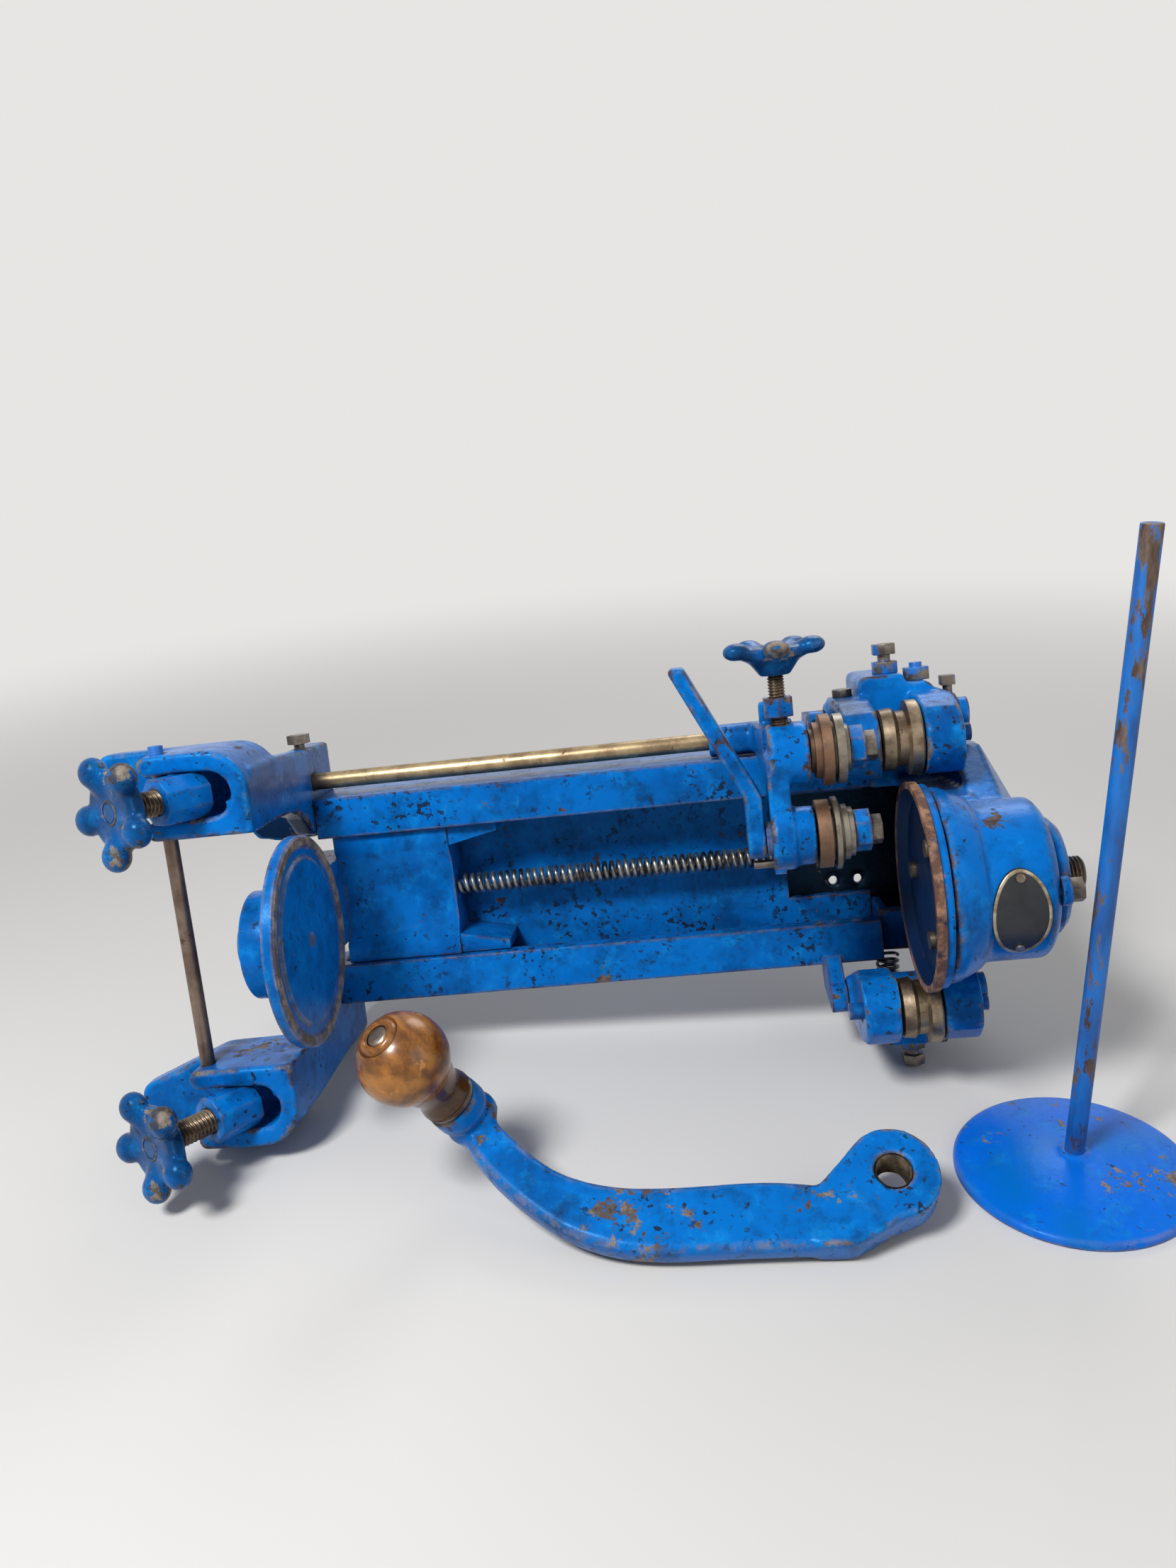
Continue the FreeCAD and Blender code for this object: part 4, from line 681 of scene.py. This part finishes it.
# Castings whose edges and corners all flow, with the mesh size in millimetres and smoothing rounds
FLOWING = {
    "upper_foot": (1.4, 4), "lower_foot": (1.4, 4), "head_casting": (1.7, 4), "roll_arm": (1.2, 6),
    "upper_yoke": (1.2, 5), "lower_yoke": (1.2, 5), "bent_lever": (1.1, 3), "crank_arm": (1.3, 16),
}
FLOW_FACTOR = 0.5

# Fuller flank of the feet: its outline across the machine (v, w) and its two ends along it
FOOT_SIDE = {"upper_foot": 1.0, "lower_foot": -1.0}
FOOT_FLANK = [(58.9, 13.0), (59.6, -15.0), (58.4, -45.0), (52.5, -62.0), (42.0, -74.0),
              (76.0, -74.0), (76.0, 13.0)]
FLANK_ENDS = (-324.5, -312.1)

# Lug behind the arch of the upper foot: its outline from the front (u, v) and its back and front
FOOT_LUG = [(-323.0, 33.5), (-345.0, 33.0), (-359.0, 35.5), (-363.0, 42.0), (-354.0, 56.0),
            (-340.0, 66.0), (-323.0, 70.0)]
LUG_ENDS = (-117.0, -106.0)

# Rounded ears of the yokes: radius about the axle, where it opens out behind, and where it ends
EAR_JOINT = {"upper_yoke": "upper_roll_spin", "lower_yoke": "lower_roll_spin"}
EAR_R = 18.6
EAR_OPENS = -4.0
EAR_FLARE = 0.8
EAR_BACK = -16.0

# Seats of the return springs in the yokes
SEAT_OF = {"upper_yoke": ("upper_return_spring", 1.0), "lower_yoke": ("lower_return_spring", -1.0)}
SEAT_ROOM = 1.6
SEAT_DEEP = 2.0
SEAT_FEELS = 3.0

# Screw threads: pitch and depth, points round, rows to a pitch, and how sharp the groove is
CLAMP_THREAD = (2.117, 1.1)
ARM_THREAD = (1.411, 0.75)
STUB_THREAD = (1.8, 0.85)
THREAD_AROUND = 36
THREAD_ROWS = 7
THREAD_SHARP = 1.25

# Spindle: its flange and shaft, and the stub for the crank
FLANGE_THICK = 4
SHAFT_R = 12.0
STUB_START = 64.9
STUB_R = 7.94
STUB_CHAMFER = 1.2

# Threaded eye of the crank: its bore, the search for its wall, and its thread
EYE_R = 8.05
EYE_WALL = 8.2
EYE_SHORT = 0.6
EYE_PITCH = 1.8
EYE_ROOT = 7.97
EYE_DEPTH = 0.8
EYE_EASE = 1.2
EYE_SHARP = 1.2
EYE_AROUND = 48

# Groove that sets off the crank's collar: how far below the knob, its half width and its depth
GROOVE_BELOW = 13.0
GROOVE_HALF = 4.0
GROOVE_DEEP = 1.7
COLLAR_FROM, COLLAR_TO = 11.0, 15.0

# Wooden knob: neck (height above its foot, radius), ball (degrees), and end (height above the
# centre of the ball, radius); the pin that shows in it
KNOB_BORE = 5.3
KNOB_NECK = [(0.0, KNOB_BORE), (0.0, 12.0), (0.5, 12.7), (2.2, 13.1), (2.9, 12.6), (3.4, 12.7),
             (4.2, 13.2), (6.0, 12.9), (8.5, 12.0), (11.0, 11.6), (14.0, 12.2), (16.2, 13.2)]
KNOB_BALL = range(-46, 60, 4)
KNOB_TOP = math.radians(60)
KNOB_AROUND = 96
KNOB_END = [(18.5, 10.4), (18.0, 10.0), (17.9, 9.7), (18.3, 9.4), (19.2, 9.1), (20.0, 8.3),
            (20.4, 7.4), (20.3, 6.6), (19.8, 6.2), (19.7, 5.8), (19.9, 5.5), (19.7, KNOB_BORE),
            (16.0, KNOB_BORE)]
PIN_R = 5.0
PIN_END = [(16.5, PIN_R), (19.2, PIN_R), (19.6, 4.7), (19.9, 3.8), (20.0, 2.4), (20.0, 0.4)]
SAME_POINT = 0.001 * MM

# Star knobs: arms, balls along each, web as a share of the height, arm width as shares of the lobe,
# hub radii as shares of the lobe or of the reach, mesh size and smoothing rounds
STAR_ARMS = 5
STAR_BALLS = 8
WEB_SHARE = 0.6
ARM_ROOT = 0.86
ARM_WIDENS = 0.14
ARM_FULL = 1.03
HUB_ROOT = 1.1
HUB_BEND_AT = 0.75
HUB_BEND = 0.48
HUB_WAIST = 0.66
HUB_SHOULDER = 0.68
HUB_FACE = 0.58
HUB_EASE = 1.2
HUB_AROUND = 48
STAR_VOXEL = 0.75
STAR_ROUNDS = 10
SCREW_END = [(-2.0, 6.2), (0.1, 6.2), (0.5, 5.8), (0.5, 5.2), (-0.2, 4.9), (-0.2, 4.5), (0.3, 4.2),
             (0.3, 0.3)]
SCREW_END_AROUND = 40
BALL_AROUND = 20
BALL_ROWS = 12

# Loose plate: dished part, rolled rim (height, radius), and bead round its rod (lift, radius)
DISH_R = 53.0
DISH_RISE = 7.0
DISH_THICK = 4.0
DISH_UNDER = range(2, 52, 5)
DISH_OVER = range(50, 9, -5)
DISH_RIM = [(0.15, 52.3), (0.5, 52.9), (1.6, 53.0), (3.0, 52.9), (3.9, 52.3)]
DISH_MEETS_RIM = 51.5
DISH_BEAD = [(0.0, 7.5), (0.3, 6.5), (0.9, 5.8), (1.1, 5.2), (1.1, 4.0)]
DISH_AROUND = 128

# Border of the oval plate: place along the machine, half axes, turn about the spindle, and section
# (inset, share of its rise)
BORDER_AT = 39.0
BORDER_HALF_U, BORDER_HALF_V = 13.0, 21.0
BORDER_TURN = math.radians(-12.0)
BORDER_WIDTH = 1.5
BORDER_RISE = 0.35
BORDER_SECTION = [(0.15, -0.3), (0.15, 0.6), (0.45, 1.0), (BORDER_WIDTH - 0.45, 1.0),
                  (BORDER_WIDTH, 0.6), (BORDER_WIDTH, -0.3)]
BORDER_AROUND = 96

# Stage: floor in metres, where it runs out into the background, and lamps (place, size, watts)
FLOOR_SIZE = 30.0
FLOOR_FADE = (0.5, 1.6)
FLOOR_ROUGH, FLOOR_SHINE = 0.8, 0.1
SKY_STRENGTH = 0.24
LAMP_AIM = Vector((0, 0, 0.08))
LAMPS = {
    "key": ((-0.5, -0.75, 1.2), 0.32, 22.0),
    "fill": ((1.0, -0.75, 0.7), 0.9, 3.0),
    "rim": ((0.3, 0.95, 1.0), 0.6, 4.0),
}


def look(node):
    return MATS[NODE_LOOK.get(node, SLOT_LOOK[SLOT_OF[node]])]


def link(name, mesh, mat):
    obj = bpy.data.objects.new(name, mesh)
    bpy.context.scene.collection.objects.link(obj)
    mesh.materials.clear()
    mesh.materials.append(mat)
    return obj


def shade(mesh):
    mesh.shade_smooth()
    mesh.set_sharp_from_angle(angle=SHARP)


def raw_mesh(bm, name):
    mesh = bpy.data.meshes.new(name)
    bm.to_mesh(mesh)
    bm.free()
    return mesh


def mesh_of(bm, name, inward):
    """Shaded mesh that faces outwards, or inwards as the wall of a hole does."""
    if inward:
        bmesh.ops.reverse_faces(bm, faces=bm.faces)
    else:
        bmesh.ops.recalc_face_normals(bm, faces=bm.faces)
    mesh = raw_mesh(bm, name)
    shade(mesh)
    return mesh


def piece(bm, name, mat, place=Matrix(), inward=False):
    """Object of a shape, with its look and its place."""
    obj = link(name, mesh_of(bm, name, inward), mat)
    obj.matrix_world = place
    return obj


def stand_for(obj, node):
    """Rides with the node's body and is shown in its place."""
    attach(obj, BODY_OF[node])
    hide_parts(node)


def frame_on(point, axis):
    """Matrix with its origin at a point and z along an axis."""
    turn = Vector(axis).normalized().to_track_quat("Z", "Y").to_matrix().to_4x4()
    return Matrix.Translation(point) @ turn


def span(node, point, axis):
    """A node's two ends along an axis and its radius about it, in millimetres."""
    offsets = [v.co - Vector(point) for v in NODES[node].data.vertices]
    steps = [o.dot(axis) for o in offsets]
    reach = max((o - axis * s).length for o, s in zip(offsets, steps))
    return min(steps) / MM, max(steps) / MM, reach / MM


def ring(bm, radius, height, count):
    angles = [2 * math.pi * k / count for k in range(count)]
    return [bm.verts.new((radius * math.cos(a) * MM, radius * math.sin(a) * MM, height * MM))
            for a in angles]


def bridge(bm, lower, upper):
    count = len(lower)
    for k in range(count):
        bm.faces.new((lower[k], lower[(k + 1) % count], upper[(k + 1) % count], upper[k]))


def skin(bm, rings):
    """Wall through rings of points, one after another."""
    for lower, upper in zip(rings, rings[1:]):
        bridge(bm, lower, upper)


def close(bm, rings):
    """Wall through rings of points, with a cap at both ends."""
    skin(bm, rings)
    bm.faces.new(rings[0][::-1])
    bm.faces.new(rings[-1])


def turned(bm, profile, count):
    """Rings of a turned shape; profile gives (height, radius) in millimetres."""
    return [ring(bm, r, h, count) for h, r in profile]


def capped_lathe(bm, profile, count=64):
    """Turned shape with a cap at both ends of its profile."""
    close(bm, turned(bm, profile, count))


def thread(bm, start, end, crest, pitch, depth, chamfer=1.0):
    """Right-hand thread as a closed screw along z, with eased ends; millimetres."""
    steps = int((end - start) / pitch * THREAD_ROWS)
    rings = []
    for i in range(steps + 1):
        height = start + (end - start) * i / steps
        ease = max(0.0, chamfer - min(height - start, end - height))
        verts = []
        for k in range(THREAD_AROUND):
            turn = 2 * math.pi * k / THREAD_AROUND
            phase = (height / pitch - k / THREAD_AROUND) % 1.0
            groove = depth * max(0.0, 1.0 - THREAD_SHARP * abs(2 * phase - 1))
            radius = min(crest - groove, crest - ease)
            verts.append(bm.verts.new((radius * math.cos(turn) * MM, radius * math.sin(turn) * MM,
                                       height * MM)))
        rings.append(verts)
    close(bm, rings)


def threaded_screw(node, joint, pitch, depth):
    """Stands for a plain screw node with a real thread on it."""
    point, axis = line_of(JOINTS[joint])
    low, high, radius = span(node, point, axis)
    bm = bmesh.new()
    thread(bm, low, high, radius, pitch, depth)
    stand_for(piece(bm, node + "_thread", look(node), frame_on(point, axis)), node)


def spindle():
    """Spindle with its flange inside the head and the threaded stub for the crank outside it."""
    low, high, reach = span("spindle", CHUCK, U)
    bm = bmesh.new()
    capped_lathe(bm, [(low, reach), (low + FLANGE_THICK, reach), (low + FLANGE_THICK, SHAFT_R),
                      (STUB_START, SHAFT_R)])
    thread(bm, STUB_START, high, STUB_R, *STUB_THREAD, chamfer=STUB_CHAMFER)
    stand_for(piece(bm, "spindle_turned", look("spindle"), frame_on(CHUCK, U)), "spindle")


def crank_eye_thread():
    """Thread in the crank's eye, on the wall of the hole."""
    point, axis = line_of(EYE)
    offsets = [v.co - point for v in NODES["crank_arm"].data.vertices]
    wall = [o.dot(axis) / MM for o in offsets if o.cross(axis).length < EYE_WALL * MM]
    deep = max(wall) - min(wall) - EYE_SHORT
    bm = bmesh.new()
    rings = []
    steps = int(deep / EYE_PITCH * THREAD_ROWS)
    for i in range(steps + 1):
        height = deep * i / steps
        ease = min(1.0, min(height, deep - height) / EYE_EASE)
        verts = ring(bm, EYE_ROOT, height, EYE_AROUND)
        for k, vert in enumerate(verts):
            phase = (height / EYE_PITCH - k / EYE_AROUND) % 1.0
            tooth = EYE_DEPTH * ease * max(0.0, 1.0 - EYE_SHARP * abs(2 * phase - 1))
            vert.co.x *= (EYE_ROOT - tooth) / EYE_ROOT
            vert.co.y *= (EYE_ROOT - tooth) / EYE_ROOT
        rings.append(verts)
    skin(bm, rings)
    place = frame_on(point + axis * (min(wall) + EYE_SHORT / 2) * MM, axis)
    obj = piece(bm, "crank_eye_thread", MATS["screw"], place, inward=True)
    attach(obj, "crank")


def wooden_knob():
    """Turned knob: flared neck with beads, a ball, and a beaded ring round the pin at its end."""
    point, axis = line_of(JOINTS["crank_knob_spin"])
    low, high, radius = span("crank_knob", point, axis)
    centre = high - radius * math.sin(KNOB_TOP)
    foot = low - centre
    place = frame_on(point + axis * centre * MM, axis)
    angles = [math.radians(degrees) for degrees in KNOB_BALL]
    profile = [(foot + h, r) for h, r in KNOB_NECK]
    profile += [(radius * math.sin(a), radius * math.cos(a)) for a in angles]
    profile += KNOB_END + [(foot, KNOB_BORE)]
    bm = bmesh.new()
    skin(bm, turned(bm, profile, KNOB_AROUND))
    bmesh.ops.remove_doubles(bm, verts=bm.verts, dist=SAME_POINT)
    stand_for(piece(bm, "crank_knob_turned", look("crank_knob"), place), "crank_knob")
    root = span("handle_pin", point + axis * centre * MM, axis)[0]
    bm = bmesh.new()
    capped_lathe(bm, [(root, PIN_R)] + PIN_END)
    stand_for(piece(bm, "handle_pin_turned", look("handle_pin"), place), "handle_pin")


def ball(bm, place, radius, flat):
    """Closed ball about a point, flattened along z; millimetres."""
    rings = []
    for i in range(1, BALL_ROWS):
        a = math.pi * i / BALL_ROWS
        verts = ring(bm, radius * math.sin(a), -radius * flat * math.cos(a), BALL_AROUND)
        for vert in verts:
            vert.co += Vector(place) * MM
        rings.append(verts)
    close(bm, rings)


def flowing(obj, voxel, rounds):
    """Fuses an object's shells into one even mesh and smooths it, as a casting is."""
    fuse = obj.modifiers.new("fuse", "REMESH")
    fuse.mode = "VOXEL"
    fuse.voxel_size = voxel * MM
    flow = obj.modifiers.new("flow", "SMOOTH")
    flow.factor = FLOW_FACTOR
    flow.iterations = rounds
    graph = bpy.context.evaluated_depsgraph_get()
    mesh = bpy.data.meshes.new_from_object(obj.evaluated_get(graph))
    obj.modifiers.clear()
    obj.data = mesh
    mesh.shade_smooth()


def prism(bm, *ends):
    """Closed prism between two outlines of machine-frame points in millimetres."""
    close(bm, [[bm.verts.new(machine(*point)) for point in end] for end in ends])


def round_ears(mesh, joint):
    """Rounds the front of a yoke's ears about the axle of its roll."""
    point = line_of(JOINTS[joint])[0]
    for vert in mesh.vertices:
        offset = vert.co - point
        across = offset - U * offset.dot(U)
        depth = across.dot(W) / MM
        limit = (EAR_R + max(0.0, EAR_OPENS - depth) * EAR_FLARE) * MM
        if depth > EAR_BACK and across.length > limit:
            vert.co -= across * (1.0 - limit / across.length)


def spring_seat(mesh, spring, side):
    """Shallow seat in a yoke for the end of its return spring, with room for the swing."""
    coil = [v.co - CHUCK for v in NODES[spring].data.vertices]
    us, vs, ws = ([c.dot(a) / MM for c in coil] for a in (U, V, W))
    middle_u, middle_w = (min(us) + max(us)) / 2, (min(ws) + max(ws)) / 2
    reach = (max(us) - min(us)) / 2 + SEAT_ROOM
    end = max(side * v for v in vs)
    for vert in mesh.vertices:
        offset = vert.co - CHUCK
        height = side * offset.dot(V) / MM
        beside = math.hypot(offset.dot(U) / MM - middle_u, offset.dot(W) / MM - middle_w)
        if beside < reach and end - SEAT_FEELS < height < end + SEAT_DEEP:
            vert.co += V * side * (end + SEAT_DEEP - height) * MM


def open_bore(mesh, point, axis, radius):
    """Moves what has flowed into a round hole back to its wall; radius in millimetres."""
    for vert in mesh.vertices:
        offset = vert.co - point
        across = offset - axis * offset.dot(axis)
        if across.length < radius * MM:
            vert.co += across * (radius * MM / across.length - 1.0)


def collar_groove(mesh):
    """Sets the crank's collar off from its arm with a groove below the wooden knob."""
    point, axis = line_of(JOINTS["crank_knob_spin"])
    foot = span("crank_knob", point, axis)[0]
    for vert in mesh.vertices:
        offset = vert.co - point
        height = offset.dot(axis) / MM - foot + GROOVE_BELOW
        across = offset - axis * offset.dot(axis)
        if abs(height) < GROOVE_HALF and COLLAR_FROM < across.length / MM < COLLAR_TO:
            deep = GROOVE_DEEP * math.cos(math.pi * height / (2 * GROOVE_HALF)) ** 2
            vert.co -= across.normalized() * deep * MM


def fill_foot(mesh, node):
    """Adds the fuller flank over a foot's arch, and behind the upper one the lug."""
    side = FOOT_SIDE[node]
    bm = bmesh.new()
    prism(bm, *[[(u, side * v, w) for v, w in FOOT_FLANK] for u in FLANK_ENDS])
    if node == "upper_foot":
        prism(bm, *[[(u, v, w) for u, v in FOOT_LUG] for w in LUG_ENDS])
    bmesh.ops.recalc_face_normals(bm, faces=bm.faces)
    bm.from_mesh(mesh)
    bm.to_mesh(mesh)
    bm.free()


def casting(node, voxel, rounds):
    """A node's own solid with its edges and corners flowing; it stands for the node."""
    obj = link(node + "_cast", NODES[node].data.copy(), look(node))
    if node in FOOT_SIDE:
        fill_foot(obj.data, node)
    flowing(obj, voxel, rounds)
    if node in EAR_JOINT:
        round_ears(obj.data, EAR_JOINT[node])
        spring_seat(obj.data, *SEAT_OF[node])
    if node == "crank_arm":
        open_bore(obj.data, *line_of(EYE), EYE_R)
        collar_groove(obj.data)
    stand_for(obj, node)


def star(node, joint, neck, lobe, high):
    """Cast star knob: hub, arms and lobes flow into each other; it stands for the plain one, and
    the end of its screw shows in its face."""
    point, axis = line_of(JOINTS[joint])
    place = frame_on(point, axis)
    low, _, reach = span(node, point, axis)
    local = [place.inverted() @ v.co for v in NODES[node].data.vertices]
    tip = max(local, key=lambda c: c.xy.length)
    phase = math.atan2(tip.y, tip.x)
    web = high * WEB_SHARE
    face = low + neck + web
    middle = low + neck + web / 2
    bm = bmesh.new()
    capped_lathe(bm, [(low, lobe * HUB_ROOT), (low + neck * HUB_BEND_AT, reach * HUB_BEND),
                      (low + neck, reach * HUB_WAIST), (face - HUB_EASE, reach * HUB_SHOULDER),
                      (face, reach * HUB_FACE)], HUB_AROUND)
    for k in range(STAR_ARMS):
        a = phase + 2 * math.pi * k / STAR_ARMS
        out = Vector((math.cos(a), math.sin(a), 0.0)) * (reach - lobe)
        for part in range(STAR_BALLS + 1):
            share = part / STAR_BALLS
            width = lobe * (ARM_ROOT + ARM_WIDENS * share)
            lift = (high - web) / 2 * share ** 3
            ball(bm, out * share + Vector((0, 0, middle + lift)), width * ARM_FULL,
                 (web / 2 + lift) / width)
    obj = link(node + "_cast", raw_mesh(bm, node + "_cast"), look(node))
    flowing(obj, STAR_VOXEL, STAR_ROUNDS)
    obj.matrix_world = place
    stand_for(obj, node)
    bm = bmesh.new()
    capped_lathe(bm, [(face + h, r) for h, r in SCREW_END], SCREW_END_AROUND)
    end = piece(bm, node + "_screw_end", look(node), place)
    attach(end, BODY_OF[node])


def dished_plate():
    """Shallow dished plate with a rolled rim and a low bead where its rod goes in."""
    low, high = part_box("loose_plate")
    middle = (low + high) / 2
    sphere = (DISH_R ** 2 + DISH_RISE ** 2) / (2 * DISH_RISE)

    def dome(radius):
        return DISH_RISE + DISH_THICK - sphere + math.sqrt(sphere ** 2 - radius ** 2)

    under = [(dome(r) - DISH_THICK, r) for r in DISH_UNDER]
    rim = DISH_RIM + [(dome(DISH_MEETS_RIM), DISH_MEETS_RIM)]
    over = [(dome(r), r) for r in DISH_OVER]
    bead = [(dome(r) + lift, r) for lift, r in DISH_BEAD]
    bm = bmesh.new()
    capped_lathe(bm, under + rim + over + bead, DISH_AROUND)
    place = Matrix.Translation((middle.x, middle.y, low.z))
    stand_for(piece(bm, "loose_plate_dished", look("loose_plate"), place), "loose_plate")


def plate_border():
    """Raised rim round the bare oval plate, bent over the spindle housing."""
    face = span("nameplate", CHUCK, U)[2]
    bm = bmesh.new()
    rings = []
    for k in range(BORDER_AROUND):
        t = 2 * math.pi * k / BORDER_AROUND
        verts = []
        for inset, lift in BORDER_SECTION:
            across = (BORDER_HALF_V - inset) * math.sin(t)
            angle = BORDER_TURN + math.asin(across / face)
            radius = face + lift * BORDER_RISE
            u = BORDER_AT + (BORDER_HALF_U - inset) * math.cos(t)
            point = machine(u, radius * math.sin(angle), radius * math.cos(angle))
            verts.append(bm.verts.new(point))
        rings.append(verts)
    skin(bm, rings + rings[:1])
    obj = piece(bm, "nameplate_border", MATS["border"])
    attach(obj, "frame")


def softened(node, width_mm):
    """A node's own mesh with its hard edges rounded; it stands for the node."""
    bm = bmesh.new()
    bm.from_mesh(NODES[node].data)
    bmesh.ops.remove_doubles(bm, verts=bm.verts, dist=WELD)
    bmesh.ops.dissolve_limit(bm, angle_limit=FLAT, verts=bm.verts, edges=bm.edges)
    hard = [e for e in bm.edges if len(e.link_faces) == 2 and e.calc_face_angle(0.0) > HARD]
    bmesh.ops.bevel(bm, geom=hard, offset=width_mm * MM, segments=BEVEL_STEPS,
                    profile=BEVEL_FULLNESS, affect="EDGES", clamp_overlap=True)
    stand_for(piece(bm, node + "_eased", look(node)), node)


def dress_nodes():
    for name, obj in NODES.items():
        obj.data.materials.clear()
        obj.data.materials.append(look(name))
        shade(obj.data)


def seen_ray(tree):
    """1 for rays that show the background: from the camera, off gloss or through glass."""
    path = tree.nodes.new("ShaderNodeLightPath")
    shown = larger(tree, path.outputs["Is Camera Ray"], path.outputs["Is Glossy Ray"])
    return larger(tree, shown, path.outputs["Is Transmission Ray"])


def mix_into(tree, output, factor, first, second):
    """Shows one shader or the other by a factor."""
    mix = tree.nodes.new("ShaderNodeMixShader")
    tree.links.new(factor, mix.inputs[0])
    tree.links.new(first.outputs[0], mix.inputs[1])
    tree.links.new(second.outputs[0], mix.inputs[2])
    tree.links.new(mix.outputs[0], tree.nodes[output].inputs["Surface"])


def floor_material():
    """Pale floor that keeps the shadow near the object and runs out into the background."""
    mat, tree, shader = material("pale_floor")
    shader.inputs["Base Color"].default_value = (*FLOOR, 1.0)
    shader.inputs["Roughness"].default_value = FLOOR_ROUGH
    shader.inputs["Specular IOR Level"].default_value = FLOOR_SHINE
    away = add(tree, "ShaderNodeVectorMath", operation="LENGTH")
    tree.links.new(object_coords(tree), away.inputs[0])
    far = step(tree, away.outputs["Value"], *FLOOR_FADE)
    glow = add(tree, "ShaderNodeEmission", Color=(*PALE, 1.0), Strength=1.0)
    mix_into(tree, "Material Output", product(tree, far, seen_ray(tree)), shader, glow)
    return mat


def studio_world():
    """Even light from all round, with a pale background."""
    world = bpy.data.worlds.new("studio")
    world.use_nodes = True
    tree = world.node_tree
    light = tree.nodes["Background"]
    light.inputs["Color"].default_value = (*SKY, 1.0)
    light.inputs["Strength"].default_value = SKY_STRENGTH
    back = add(tree, "ShaderNodeBackground", Color=(*PALE, 1.0), Strength=1.0)
    mix_into(tree, "World Output", seen_ray(tree), light, back)
    bpy.context.scene.world = world


def stage():
    bpy.ops.mesh.primitive_plane_add(size=FLOOR_SIZE, location=(0, 0, 0))
    floor = bpy.context.object
    floor.name = "floor"
    floor.data.materials.append(floor_material())
    studio_world()
    for name, (place, size, power) in LAMPS.items():
        lamp = bpy.data.lights.new(name, "AREA")
        lamp.size = size
        lamp.energy = power
        obj = bpy.data.objects.new(name, lamp)
        obj.location = place
        obj.rotation_euler = (LAMP_AIM - Vector(place)).to_track_quat("-Z", "Y").to_euler()
        bpy.context.scene.collection.objects.link(obj)


def camera():
    cam = bpy.data.cameras.new("photo_camera")
    cam.lens = LENS_MM
    cam.sensor_width = SENSOR_MM
    cam.clip_start = CLIP_START_M
    obj = bpy.data.objects.new("photo_camera", cam)
    turn = Matrix.Rotation(math.radians(CAMERA_TURN), 4, "Z")
    tip = Matrix.Rotation(math.radians(90 - CAMERA_DOWN), 4, "X")
    roll = Matrix.Rotation(math.radians(CAMERA_ROLL), 4, "Z")
    obj.matrix_world = Matrix.Translation(CHUCK + CAMERA_FROM_CHUCK) @ turn @ tip @ roll
    bpy.context.scene.collection.objects.link(obj)
    bpy.context.scene.camera = obj


dress_nodes()
for soft_node, soft_width in SOFT_EDGES.items():
    softened(soft_node, soft_width)
for cast_node, (cast_voxel, cast_rounds) in FLOWING.items():
    casting(cast_node, cast_voxel, cast_rounds)
threaded_screw("upper_clamp_screw", "upper_clamp_turn", *CLAMP_THREAD)
threaded_screw("lower_clamp_screw", "lower_clamp_turn", *CLAMP_THREAD)
threaded_screw("arm_screw", "arm_knob_turn", *ARM_THREAD)
spindle()
crank_eye_thread()
wooden_knob()
star("upper_clamp_knob", "upper_clamp_turn", neck=6.0, lobe=7.4, high=12.5)
star("lower_clamp_knob", "lower_clamp_turn", neck=6.0, lobe=7.4, high=12.5)
star("arm_knob", "arm_knob_turn", neck=8.5, lobe=6.2, high=8.0)
dished_plate()
plate_border()
stage()
camera()
bpy.context.scene.view_settings.view_transform = "Standard"
